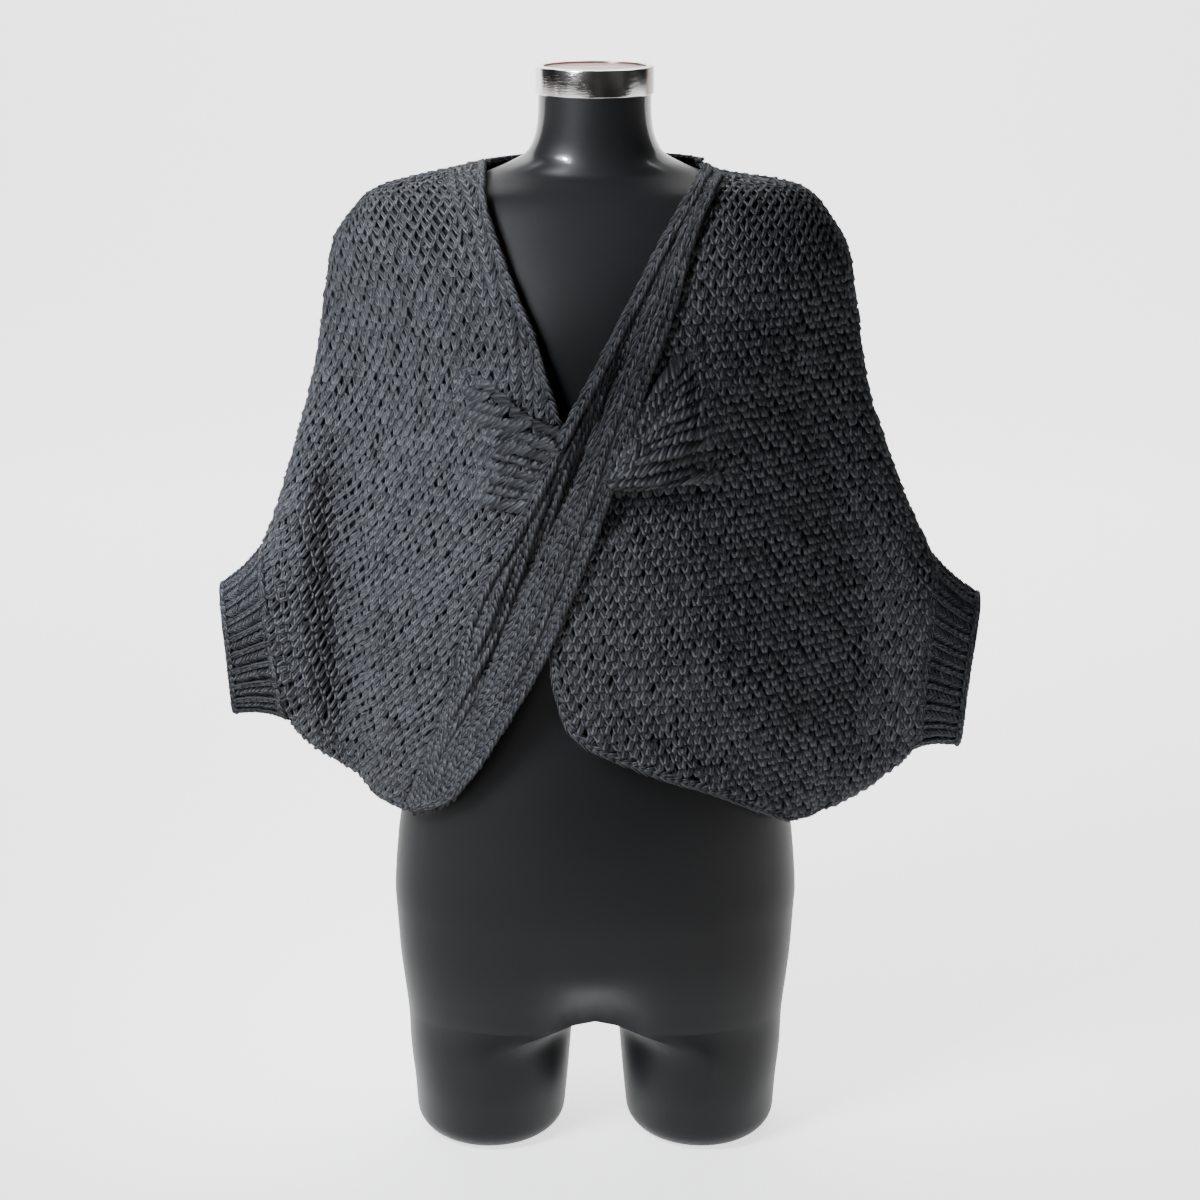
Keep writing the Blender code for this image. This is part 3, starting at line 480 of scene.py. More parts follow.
class Drape:
    """One face of the worn sweater on a fine grid: its depth, its slope and its run of cloth."""

    pitch = 0.0015  # of the grid of flat points
    weave = 0.002  # of the grid of places on the cloth
    waist = 0.55  # the height from which the cloth's run up is counted

    def __init__(self, form: SweaterForm, face: Face, middle: float, folds: float = 1.0) -> None:
        """Work out the grid.

        Args:
            form: The sweater's sizes.
            face: Front or back.
            middle: Distance from the middle at which the cloth's width is counted from 0.
            folds: Share of the folds that is kept.
        """
        self.form, self.face = form, face
        self.x = np.arange(-0.330, 0.3301, self.pitch)
        self.z = np.arange(0.240, 0.8601, self.pitch)
        x, z = np.meshgrid(self.x, self.z)
        plain = form.half_depth(x, z, face)
        depth = plain + folds * form.relief(x, z, face)
        self.within = inside(x, z, form.silhouette())
        self.depth = np.where(self.within, np.maximum(depth, 0.0), 0.0)
        # the run of the cloth is measured over its main shape, so that small folds only lift it
        soft = np.where(self.within, np.maximum(plain, 0.0), 0.0)
        self.slope_z, self.slope_x = np.gradient(self.depth, self.pitch)
        self._measure(middle, soft)

    def _measure(self, middle: float, soft: Array) -> None:
        """Measure the cloth's run across and up, and invert both for laying stitches."""
        slope_z, slope_x = np.gradient(soft, self.pitch)
        climb, run = self._run(slope_z), self._run(slope_x.T).T
        self.across = np.stack([line - np.interp(middle, self.x, line) for line in run])
        level = int(np.argmin(np.abs(self.z - self.waist)))
        self.up = climb - climb[level]
        self.s = np.arange(-0.50, 0.5001, self.weave)
        self.t = np.arange(-0.36, 0.4001, self.weave)
        x_of = np.stack([np.interp(self.s, self.across[i], self.x) for i in range(len(self.z))])
        rows = np.repeat(np.arange(len(self.z))[:, None], len(self.s), axis=1)
        up_of = self._read(self.up, x_of, self.z[rows])
        self.z_at = np.stack([np.interp(self.t, np.maximum.accumulate(up_of[:, k]), self.z)
                              for k in range(len(self.s))], axis=1)
        self.x_at = np.stack([np.interp(self.z_at[:, k], self.z, x_of[:, k])
                              for k in range(len(self.s))], axis=1)

    def _run(self, slope: Array) -> Array:
        """Add up the length of the cloth over a grid's rows from its slope."""
        each = np.sqrt(1 + slope**2)
        run = np.cumsum(0.5 * (each[1:] + each[:-1]) * self.pitch, axis=0)
        return np.concatenate([0 * run[:1], run])

    def _read(self, values: Array, x: Array, z: Array) -> Array:
        """Read a grid of values at flat points by straight lines."""
        return bilinear(values, (np.asarray(z) - self.z[0]) / self.pitch,
                        (np.asarray(x) - self.x[0]) / self.pitch)

    def laid(self, s: Array, t: Array) -> tuple[Array, Array]:
        """Turn a place on the cloth into a flat point (x, z)."""
        row, column = (t - self.t[0]) / self.weave, (s - self.s[0]) / self.weave
        return bilinear(self.x_at, row, column), bilinear(self.z_at, row, column)

    def cloth_place(self, x: Array, z: Array) -> Array:
        """Turn flat points into places on the cloth, across and up."""
        return np.stack([self._read(self.across, x, z), self._read(self.up, x, z)], axis=-1)

    def height(self, x: Array, z: Array) -> Array:
        """Give the cloth's distance from the seam plane at flat points."""
        return self._read(self.depth, x, z)

    def normal(self, x: Array, z: Array) -> Array:
        """Give the direction out of the cloth at flat points."""
        facing = float(self.face.value)
        slope_x, slope_z = self._read(self.slope_x, x, z), self._read(self.slope_z, x, z)
        return unit(np.stack([-slope_x, np.full_like(slope_x, facing), -slope_z], axis=-1))

    def point(self, x: Array, z: Array, lift: Any = 0.0) -> Array:
        """Give points of the cloth's outer face, lifted along its normal."""
        facing = float(self.face.value)
        x, z = np.asarray(x, float), np.asarray(z, float)
        y = self.form.seam_y + facing * (self._read(self.depth, x, z) + self.form.gap / 2)
        lift = np.broadcast_to(np.asarray(lift, float), x.shape)
        return np.stack([x, y, z], axis=-1) + self.normal(x, z) * lift[..., None]


def bilinear(values: Array, row: Array, column: Array) -> Array:
    """Read a grid at fractional rows and columns, held inside its bounds."""
    row = np.clip(row, 0, values.shape[0] - 1.001)
    column = np.clip(column, 0, values.shape[1] - 1.001)
    i, j = row.astype(int), column.astype(int)
    v, u = row - i, column - j
    top = values[i, j] * (1 - u) + values[i, j + 1] * u
    low = values[i + 1, j] * (1 - u) + values[i + 1, j + 1] * u
    return top * (1 - v) + low * v


# -------- node trees


class Graph:
    """A node tree that takes any node by its type, settings and socket values."""

    def __init__(self, tree: NodeTree) -> None:
        """Keep the tree."""
        self.tree = tree

    def add(self, kind: str, settings: dict[str, Any] | None = None,
            sockets: dict[Any, Any] | None = None) -> Node:
        """Add one node.

        Args:
            kind: The node's type.
            settings: Its properties, set before its sockets. A ramp's stops come as "stops".
            sockets: Values, or wires to link, by socket name or number.

        Returns:
            The node.
        """
        node = self.tree.nodes.new(kind)
        for name, value in (settings or {}).items():
            if name == "stops":
                while len(node.color_ramp.elements) < len(value):
                    node.color_ramp.elements.new(0.5)
                for element, (place, colour) in zip(node.color_ramp.elements, value):
                    element.position, element.color = place, (*colour, 1)
            else:
                setattr(node, name, value)
        self.fill(node, sockets or {})
        return node

    def fill(self, node: Node, sockets: dict[Any, Any]) -> None:
        """Set a node's sockets to values, or link them to wires."""
        for name, value in sockets.items():
            source = value.socket if isinstance(value, Wire) else value
            if isinstance(source, NodeSocket):
                self.tree.links.new(source, node.inputs[name])
            else:
                node.inputs[name].default_value = value

    def wire(self, kind: str, settings: dict[str, Any] | None = None,
             sockets: dict[Any, Any] | None = None, output: Any = 0) -> "Wire":
        """Add one node and take one of its outputs as a wire."""
        return Wire(self, self.add(kind, settings, sockets).outputs[output])


def operator(operation: str, turned: bool = False) -> Callable[["Wire", Any], "Wire"]:
    """Make a method that adds a Math node on a wire and another value.

    Args:
        operation: The node's operation.
        turned: Whether the other value comes first.

    Returns:
        The method.
    """
    def method(wire: "Wire", other: Any) -> "Wire":
        """Add the node and take its value."""
        return wire.maths(operation, *((other, wire) if turned else (wire, other)))

    return method


class Wire:
    """A number's socket, which Python's operators extend with Math nodes."""

    __add__ = __radd__ = operator("ADD")
    __mul__ = __rmul__ = operator("MULTIPLY")
    __sub__ = operator("SUBTRACT")
    __rsub__ = operator("SUBTRACT", turned=True)
    __truediv__ = operator("DIVIDE")
    __pow__ = operator("POWER")
    below = operator("MINIMUM")
    above = operator("MAXIMUM")

    def __init__(self, graph: Graph, socket: NodeSocket) -> None:
        """Keep the socket and the graph it lives in."""
        self.graph, self.socket = graph, socket

    def maths(self, operation: str, *values: Any) -> "Wire":
        """Add a Math node on the given values."""
        return self.graph.wire("ShaderNodeMath", {"operation": operation},
                               dict(enumerate(values)))

    def parts(self) -> list["Wire"]:
        """Split a vector into its three numbers."""
        split = self.graph.add("ShaderNodeSeparateXYZ", None, {0: self})
        return [Wire(self.graph, socket) for socket in split.outputs]

    def sine(self) -> "Wire":
        """Take the sine."""
        return self.maths("SINE", self)

    def held(self) -> "Wire":
        """Hold between 0 and 1."""
        return self.above(0.0).below(1.0)


# -------- finishes


class Finish:
    """A procedural finish: a Principled shader that its subclasses dress."""

    name = "finish"

    def shader(self, graph: Graph, sockets: dict[str, Any]) -> None:
        """Fill the Principled shader's sockets."""
        graph.fill(graph.tree.nodes["Principled BSDF"], sockets)

    def attribute(self, graph: Graph, name: str, output: int = 2) -> Wire:
        """Read a named attribute: output 2 is its number, 1 its vector."""
        return graph.wire("ShaderNodeAttribute", {"attribute_name": name}, output=output)

    def dress(self, graph: Graph) -> None:
        """Set the finish's own nodes."""
        raise NotImplementedError

    def material(self) -> Material:
        """Make the Blender material."""
        made = bpy.data.materials.new(self.name)
        made.use_nodes = True
        self.dress(Graph(made.node_tree))
        return made

    def noise(self, graph: Graph, scale: float, detail: float = 2.0, rough: float = 0.5,
              stretch: Sequence[float] = (1, 1, 1)) -> Wire:
        """Read a noise on the piece's own coordinates."""
        place = graph.wire("ShaderNodeTexCoord", output="Object")
        turned = graph.wire("ShaderNodeMapping", sockets={"Vector": place, "Scale": stretch})
        return graph.wire("ShaderNodeTexNoise", sockets={
            "Vector": turned, "Scale": scale, "Detail": detail, "Roughness": rough})

    def tint(self, graph: Graph, share: Any, dark: Sequence[float],
             light: Sequence[float]) -> NodeSocket:
        """Blend two colours by a share."""
        node = graph.add("ShaderNodeMix", {"data_type": "RGBA"}, {
            "Factor": share, 6: (*dark, 1), 7: (*light, 1)})
        return node.outputs[2]

    def bump(self, graph: Graph, height: Any, distance: float,
             strength: float = 1.0) -> NodeSocket:
        """Turn a height in shares of a distance into a normal."""
        node = graph.add("ShaderNodeBump", None, {
            "Height": height, "Distance": distance, "Strength": strength})
        return node.outputs["Normal"]


@dataclass(frozen=True)
class CottonYarn(Finish):
    """Soft black plied cotton, its plies turning round each stitch."""

    name: str = "black_cotton_yarn"
    dark: Triple = (0.0035, 0.0035, 0.004)
    light: Triple = (0.180, 0.187, 0.206)
    plies: float = 3.0
    turns: float = 1.1
    relief: float = 0.0015
    fuzz: float = 1500.0
    # painted shade and highlight: a stitch's colour darkens where it dips under its cloth and
    # lightens to its crest
    painted_shade_depth: float = 0.05  # a stitch lightens from this depth under its cloth
    painted_crest: float = 1.40  # up to this height, both in yarn radii
    painted_crest_power: float = 2.1

    def dress(self, graph: Graph) -> None:
        """Shade plies, fibres and the change from stitch to stitch, with painted shade where a
        stitch dips and in its ply grooves, and a painted highlight on its crest.
        """
        side_x, side_y, _ = self.attribute(graph, "strand_side", 1).parts()
        angle = side_x.maths("ARCTAN2", side_y, side_x)
        place, shade, height = (self.attribute(graph, "strand_" + name)
                                for name in ("place", "shade", "height"))
        twist = (angle * self.plies + place * (self.turns * 2 * math.pi)).sine() * 0.5 + 0.5
        fibre = self.noise(graph, self.fuzz, 3.0, 0.65)
        worn = self.noise(graph, 16.0, 2.0)
        # painted shade by the stitch's own height, lightest on its crest
        share = (height + self.painted_shade_depth) / (self.painted_shade_depth + self.painted_crest)
        painted_crest = share.held() ** self.painted_crest_power
        # painted shade in the ply grooves, with the fibres, each strand's random tone and wear
        ply_shade_and_tone = (twist ** 1.4) * 0.75 + fibre * 0.30 + shade * 0.30 + worn * 0.20 - 0.16
        share = ((painted_crest * 0.85 + 0.15) * ply_shade_and_tone).held()
        relief = (twist ** 0.5) * 0.72 + fibre * 0.28
        self.shader(graph, {
            "Base Color": self.tint(graph, share, self.dark, self.light),
            "Roughness": 0.94 - fibre * 0.12,
            "Specular IOR Level": 0.12, "Sheen Weight": 0.04, "Sheen Roughness": 0.45,
            "Sheen Tint": (0.62, 0.66, 0.74, 1),
            "Normal": self.bump(graph, relief, self.relief)})


@dataclass(frozen=True)
class KnitGround(Finish):
    """The knit's depth behind its stitches and its inner side, painted far darker than the yarn as
    shade.
    """

    name: str = "knit_ground_painted_shade"
    # painted shade: the ground's colours stand in for the shade in the knit's depth
    dark: Triple = (0.002, 0.002, 0.002)
    light: Triple = (0.019, 0.0193, 0.021)
    wale: float = 0.0096
    course: float = 0.0068

    def dress(self, graph: Graph) -> None:
        """Shade rows of loops by the cloth's own run across and up: painted shade, lighter over
        each loop.
        """
        across, rising, _ = self.attribute(graph, "cloth_place", 1).parts()
        across = across * (2 * math.pi / self.wale)
        loops = across.sine() * (rising * (math.pi / self.course)).sine() * 0.5 + 0.5
        fibre = self.noise(graph, 1300.0, 3.0, 0.6)
        # painted shade, lightened over each loop and by fibres
        share = (loops * 0.7 + fibre * 0.5 - 0.2).held()
        self.shader(graph, {
            "Base Color": self.tint(graph, share, self.dark, self.light),
            "Roughness": 0.96 - fibre * 0.08,
            "Specular IOR Level": 0.1,
            "Normal": self.bump(graph, loops * 0.75 + fibre * 0.25, 0.0016)})


@dataclass(frozen=True)
class GlossPlastic(Finish):
    """Polished black plastic, handled: faint smears and a slight unevenness."""

    name: str = "black_gloss_plastic"
    colour: Triple = (0.0050, 0.0052, 0.0058)
    polished_from: float = 0.812  # the height from which the coat comes in
    polish_rise: float = 60.0  # its share gained in a metre

    def dress(self, graph: Graph) -> None:
        """Shade smears in the gloss and the moulding's waviness."""
        smear = self.noise(graph, 9.0, 4.0, 0.6, (1, 1, 0.35))
        speck = self.noise(graph, 320.0, 2.0)
        dust = (speck - 0.70).above(0.0) * 2.0
        height = graph.wire("ShaderNodeTexCoord", output="Object").parts()[2]
        neck = ((height - self.polished_from) * self.polish_rise).above(0.0)
        self.shader(graph, {
            "Base Color": self.tint(graph, dust.below(1.0), self.colour, (0.03, 0.03, 0.032)),
            "Roughness": 0.36 + smear * 0.20 + dust * 0.3,
            "Specular IOR Level": 0.15, "Coat Roughness": 0.12,
            "Coat Weight": neck.below(1.0) * (0.70 + smear * 0.5),
            "Normal": self.bump(graph, smear * 0.6 + speck * 0.02, 0.0012)})


@dataclass(frozen=True)
class Chrome(Finish):
    """Bright plated steel with fine scratches round the band, and dark reflections painted into
    its colour.
    """

    name: str = "cap_chrome"

    def dress(self, graph: Graph) -> None:
        """Shade fine scratches, a few dull marks and painted dark reflections."""
        scratch = self.noise(graph, 60.0, 4.0, 0.7, (1, 1, 24))
        dull = self.noise(graph, 70.0, 3.0)
        # painted reflection: dark streaks round the band in the base colour, mixed with the dull
        # marks
        painted_reflection = self.noise(graph, 34.0, 2.0, 0.5, (1, 1, 0.3))
        painted_reflection_and_dull = ((painted_reflection - 0.40) * 6.0 + dull * 0.3).held()
        self.shader(graph, {
            "Base Color": self.tint(graph, painted_reflection_and_dull, (0.20, 0.17, 0.145), (0.86, 0.85, 0.83)),
            "Metallic": 1.0, "Roughness": 0.05 + scratch * 0.10 + dull * 0.05,
            "Normal": self.bump(graph, scratch, 0.00008)})


@dataclass(frozen=True)
class StainedCap(Finish):
    """The cap's red-brown stained top, rubbed lighter in patches."""

    name: str = "cap_top"

    def dress(self, graph: Graph) -> None:
        """Shade a faint grain and rubbed patches."""
        grain = self.noise(graph, 40.0, 4.0, 0.6, (1, 9, 1))
        patch = self.noise(graph, 22.0, 3.0)
        share = (grain * 0.6 + patch * 0.6 - 0.1).held()
        self.shader(graph, {
            "Base Color": self.tint(graph, share, (0.085, 0.022, 0.018), (0.26, 0.085, 0.06)),
            "Roughness": 0.28 + patch * 0.25, "Coat Weight": 0.2,
            "Normal": self.bump(graph, grain, 0.0002)})


@dataclass(frozen=True)
class StudioWhite(Finish):
    """The pale paper of the studio sweep."""

    name: str = "studio_white"

    def dress(self, graph: Graph) -> None:
        """Shade plain matt paper."""
        cloud = self.noise(graph, 1.5, 1.0)
        self.shader(graph, {
            "Base Color": self.tint(graph, cloud, (0.87, 0.87, 0.87), (0.90, 0.90, 0.90)),
            "Roughness": 0.9, "Specular IOR Level": 0.1,
            "Emission Color": (1, 1, 1, 1), "Emission Strength": 1.7})


# -------- laying yarn


@dataclass
class Strands:
    """Lengths of yarn to be laid: where each runs from and to, which way is out, how thick."""

    start: Array
    end: Array
    outwards: Array
    radius: Array

    @staticmethod
    def joined(parts: Sequence["Strands"]) -> "Strands":
        """Put several lots of strands together."""
        return Strands(*(np.concatenate([getattr(part, name) for part in parts])
                         for name in ("start", "end", "outwards", "radius")))

    def chosen(self, keep: Array) -> "Strands":
        """Keep only the strands that a mask marks."""
        return Strands(self.start[keep], self.end[keep], self.outwards[keep], self.radius[keep])


@dataclass(frozen=True)
class Loop:
    """The sizes of a chain of V-shaped loops."""

    spacing: float
    spread: float  # half the width of a loop's open end
    radius: float
    foot: float = 0.38  # the share of the spread at which a loop's two sides begin
    vary: float = 0.18
    twist: float = 0.0003  # one side lies this far over the other
    reach: float = 0.08  # the share of the spacing by which the sides run on

    def chain(self, path: Array, outwards: Array, lift: Any = 0.0) -> Strands:
        """Lay a chain along a path, as at a selvedge or down a rib.

        Args:
            path: Points along the path.
            outwards: The direction out of the cloth at each point.
            lift: How far the chain is raised off the path, one number or one for each point.

        Returns:
            Two strands for each loop.
        """
        points, out, run = stations(path, outwards, self.spacing, lift)
        aside = unit(np.cross(out, run))
        chance = np.random.default_rng(len(points))
        lots = []
        for turn in (-1, 1):
            vary = chance.uniform(-self.vary, self.vary, (2, len(points) - 1, 1))
            start = points[:-1] + aside[:-1] * (turn * self.spread * (self.foot + vary[0]))
            start = start + out[:-1] * (turn * self.twist) + run[:-1] * self.spacing * vary[1]
            end = points[1:] + aside[1:] * (turn * self.spread * (1 + vary[1]))
            end = end + run[1:] * self.spacing * self.reach
            lots.append(Strands(start, end, out[:-1], np.full(len(start), self.radius)))
        return Strands.joined(lots)


@dataclass(frozen=True)
class Purl:
    """The sizes of a row of short slanted stitches, side by side as in a purl row."""

    spacing: float = 0.0056
    half: float = 0.0030  # half a stitch's reach across the row
    slant: float = 0.0034  # how far each end leans along the row
    radius: float = 0.0032
    vary: float = 0.28
    shift: float = 0.14

    def row(self, path: Array, outwards: Array, lift: Any = 0.0) -> Strands:
        """Lay one row along a path, raised by lift: one strand for each stitch."""
        points, out, run = stations(path, outwards, self.spacing, lift)
        chance = np.random.default_rng(len(points) + 7)
        vary = chance.uniform(1 - self.vary, 1 + self.vary, (2, len(points), 1))
        reach = unit(np.cross(out, run)) * self.half * vary[0] + run * self.slant * vary[1]
        shift = chance.uniform(-self.shift, self.shift, (len(points), 1))
        shift = run * self.spacing * shift
        return Strands(points - reach + shift, points + reach + shift, out,
                       np.full(len(points), self.radius))


def stations(path: Array, outwards: Array, spacing: float,
             lift: Any) -> tuple[Array, Array, Array]:
    """Give evenly spaced places on a path: lifted points, ways out and ways along."""
    places = even_run(path, spacing)
    out = unit(rows_at(outwards, places))
    lifts = np.interp(places, np.arange(len(path)), lift + np.zeros(len(path)))
    points = rows_at(path, places) + out * lifts[:, None]
    return points, out, unit(np.gradient(points, axis=0))


@dataclass
class YarnLayer:
    """The Geometry Nodes tree that lays one leaf-shaped length of yarn on each strand."""

    overlap: float = 0.03
    base_height: float = -0.85
    crown: float = 1.20
    tip_height: float = -1.35
    waist: float = 0.46
    roll: float = 0.30
    seed: int = 11
    sides: int = 5
    spans: int = 3
    finish: Finish = field(default_factory=CottonYarn)

    def sizes(self) -> dict[str, Any]:
        """Give the tree's inputs by name."""
        return {"Overlap": self.overlap, "Base Height": self.base_height, "Crown": self.crown,
                "Tip Height": self.tip_height, "Waist": self.waist, "Roll": self.roll,
                "Seed": self.seed, "Sides": self.sides, "Points": self.spans + 1,
                "Yarn": finish_of(self.finish)}

    def tree(self) -> NodeTree:
        """Build the tree with its named inputs."""
        group = bpy.data.node_groups.new("Laid Yarn", "GeometryNodeTree")
        face = group.interface
        face.new_socket("Geometry", in_out="OUTPUT", socket_type="NodeSocketGeometry")
        face.new_socket("Strands", in_out="INPUT", socket_type="NodeSocketGeometry")
        kinds = {float: "NodeSocketFloat", int: "NodeSocketInt"}
        for name, value in self.sizes().items():
            kind = kinds.get(type(value), "NodeSocketMaterial")
            face.new_socket(name, in_out="INPUT", socket_type=kind)
        graph = Graph(group)
        given = graph.add("NodeGroupInput").outputs
        points = graph.wire("GeometryNodeMeshToPoints", None, {"Mesh": given["Strands"]})
        turn = graph.wire("FunctionNodeAxesToRotation", {
            "primary_axis": "Y", "secondary_axis": "Z"}, {
            0: self._vector(graph, "run"), 1: self._vector(graph, "outwards")})
        roll, seed = Wire(graph, given["Roll"]), Wire(graph, given["Seed"])
        swing = self._chance(graph, 0.0 - roll, roll, seed)
        tilt = graph.wire("ShaderNodeCombineXYZ", None, {1: swing})
        extra = graph.wire("FunctionNodeEulerToRotation", None, {0: tilt})
        turned = graph.wire("FunctionNodeRotateRotation", {"rotation_space": "LOCAL"}, {
            0: turn, 1: extra})
        laid = graph.wire("GeometryNodeInstanceOnPoints", None, {
            "Points": points, "Instance": self._leaf(graph, given), "Rotation": turned,
            "Scale": self._vector(graph, "stretch")})
        shaded = self._store(graph, laid, "strand_shade", self._chance(graph, 0.0, 1.0, seed + 5),
                             domain="INSTANCE")
        real = graph.wire("GeometryNodeRealizeInstances", None, {0: shaded})
        smooth = graph.wire("GeometryNodeSetShadeSmooth", None, {
            "Geometry": real, "Shade Smooth": True})
        dressed = graph.wire("GeometryNodeSetMaterial", None, {
            "Geometry": smooth, "Material": given["Yarn"]})
        graph.add("NodeGroupOutput", None, {0: dressed})
        return group

    def _chance(self, graph: Graph, low: Any, high: Any, seed: Wire) -> Wire:
        """Draw one random number for each strand."""
        return graph.wire("FunctionNodeRandomValue", {"data_type": "FLOAT"}, {
            2: low, 3: high, "Seed": seed}, 1)

    def _store(self, graph: Graph, geometry: Wire, name: str, value: Wire,
               kind: str = "FLOAT", domain: str = "POINT") -> Wire:
        """Keep a value on the geometry under a name."""
        return graph.wire("GeometryNodeStoreNamedAttribute", {
            "data_type": kind, "domain": domain}, {
            "Geometry": geometry, "Name": name, "Value": value})

    def _vector(self, graph: Graph, name: str) -> Wire:
        """Read a named vector of the strands."""
        return graph.wire("GeometryNodeInputNamedAttribute", {"data_type": "FLOAT_VECTOR"},
                          {"Name": name})

    def _leaf(self, graph: Graph, given: Any) -> Wire:
        """Build one unit-long leaf of yarn, thick in its middle and dipping at its tip."""
        over, crown, waist = (Wire(graph, given[name]) for name in ("Overlap", "Crown", "Waist"))
        ends = {name: graph.wire("ShaderNodeCombineXYZ", None, {1: place, 2: height})
                for name, place, height in (
                    ("Start", 0.0 - over, given["Base Height"]), ("Start Handle", 0.30, crown),
                    ("End Handle", 0.62, crown), ("End", over + 1.0, given["Tip Height"]))}
        curve = graph.wire("GeometryNodeCurvePrimitiveBezierSegment", {"mode": "POSITION"},
                           {"Resolution": 12, **ends})
        even = graph.wire("GeometryNodeResampleCurve", {"mode": "COUNT"}, {
            "Curve": curve, "Count": given["Points"]})
        place = graph.wire("GeometryNodeSplineParameter")
        marked = self._store(graph, even, "strand_place", place)
        ring = graph.wire("GeometryNodeCurvePrimitiveCircle", {"mode": "RADIUS"}, {
            "Resolution": given["Sides"], "Radius": 1.0})
        side = graph.wire("GeometryNodeInputPosition")
        ring = self._store(graph, ring, "strand_side", side, "FLOAT_VECTOR")
        swell = waist + (1.0 - waist) * ((place * math.pi).sine().above(0.0) ** 0.7)
        leaf = graph.wire("GeometryNodeCurveToMesh", None, {
            "Curve": marked, "Profile Curve": ring, "Scale": swell, "Fill Caps": True})
        return self._store(graph, leaf, "strand_height", side.parts()[2])

    def lay(self, name: str, strands: Strands) -> Object:
        """Lay the yarn and keep it as a plain mesh.

        Args:
            name: The piece's name.
            strands: Where the yarn goes.

        Returns:
            The finished piece.
        """
        count = len(strands.start)
        length = np.linalg.norm(strands.end - strands.start, axis=1)
        mesh = bpy.data.meshes.new(name + "_strands")
        mesh.vertices.add(count)
        mesh.vertices.foreach_set("co", strands.start.astype(np.float32).ravel())
        stretch = np.stack([strands.radius, length, strands.radius], axis=1)
        for label, values in (("run", unit(strands.end - strands.start)),
                              ("outwards", strands.outwards), ("stretch", stretch)):
            mesh.attributes.new(label, "FLOAT_VECTOR", "POINT").data.foreach_set(
                "vector", values.astype(np.float32).ravel())
        guide = placed(name + "_strands", mesh)
        modifier = guide.modifiers.new("Laid Yarn", "NODES")
        modifier.node_group = group = bpy.data.node_groups.get("Laid Yarn") or self.tree()
        keys = {item.name: item.identifier for item in group.interface.items_tree
                if item.in_out == "INPUT"}
        for label, value in self.sizes().items():
            modifier[keys[label]] = value
        bpy.context.view_layer.update()
        graph = bpy.context.evaluated_depsgraph_get()
        made = bpy.data.meshes.new_from_object(guide.evaluated_get(graph),
                                               preserve_all_data_layers=True, depsgraph=graph)
        guide.modifiers.remove(modifier)
        bpy.data.objects.remove(guide)
        made.name = name
        made.calc_loop_triangles()
        LOG.info("%s: %d strands, %d triangles", name, count, len(made.loop_triangles))
        return placed(name, made)


@cache
def finish_of(finish: Finish) -> Material:
    """Give a finish's material, made once."""
    return finish.material()


# -------- meshes


def placed(name: str, data: Any) -> Object:
    """Put a mesh, a light or a camera into the scene."""
    made = bpy.data.objects.new(name, data)
    bpy.context.scene.collection.objects.link(made)
    return made


def smooth_piece(name: str, shape: BMesh, finish: Finish, sharp: float,
                 mesh: Mesh | None = None) -> Object:
    """Turn a built shape into a smooth closed piece with its faces outwards.

    Args:
        name: The piece's name.
        shape: The shape, which is used up.
        finish: Its finish.
        sharp: The angle in degrees past which an edge stays sharp.
        mesh: The mesh that takes the shape, where it's there already.

    Returns:
        The piece.
    """
    bmesh.ops.recalc_face_normals(shape, faces=shape.faces)
    if shape.calc_volume(signed=True) < 0:
        bmesh.ops.reverse_faces(shape, faces=shape.faces)
    mesh = mesh or bpy.data.meshes.new(name)
    shape.to_mesh(mesh)
    shape.free()
    mesh.shade_smooth()
    mesh.set_sharp_from_angle(angle=math.radians(sharp))
    mesh.materials.append(finish_of(finish))
    return placed(name, mesh)


def wall(name: str, outer: Array, inner: Array, finish: Finish, places: Array,
         tube: bool = False) -> Object:
    """Make one closed thin wall: an outer grid, an inner one behind it, and the rim.

    Args:
        name: The piece's name.
        outer: Grid of points, rows by columns.
        inner: The points behind them.
        finish: Its finish.
        places: The cloth's coordinates at each grid point.
        tube: Whether the last column joins the first.

    Returns:
        The piece.
    """
    rows, columns = outer.shape[:2]
    behind = rows * columns
    number = np.arange(behind).reshape(rows, columns)
    if tube:
        number = np.concatenate([number, number[:, :1]], axis=1)
        rims = [number[0], number[-1]]
    else:
        rims = [np.concatenate([number[:, 0], number[-1, 1:], number[-2::-1, -1],
                                number[0, -2::-1]])]
    quads = np.stack([number[:-1, :-1], number[:-1, 1:], number[1:, 1:], number[1:, :-1]],
                     axis=-1).reshape(-1, 4)
    edges = [np.stack([rim[:-1], rim[1:], rim[1:] + behind, rim[:-1] + behind], axis=1)
             for rim in rims]
    faces = np.concatenate([quads, quads[:, ::-1] + behind, *edges])
    mesh = bpy.data.meshes.new(name)
    mesh.from_pydata(np.concatenate([outer, inner]).reshape(-1, 3).tolist(), [], faces.tolist())
    flat = places.reshape(-1, 2)
    cloth = np.concatenate([np.c_[flat, flat[:, :1] * 0], np.c_[flat, flat[:, :1] * 0 + 1]])
    mesh.attributes.new("cloth_place", "FLOAT_VECTOR", "POINT").data.foreach_set(
        "vector", cloth.astype(np.float32).ravel())
    shape = bmesh.new()
    shape.from_mesh(mesh)
    return smooth_piece(name, shape, finish, 60, mesh)


# -------- knitted pieces


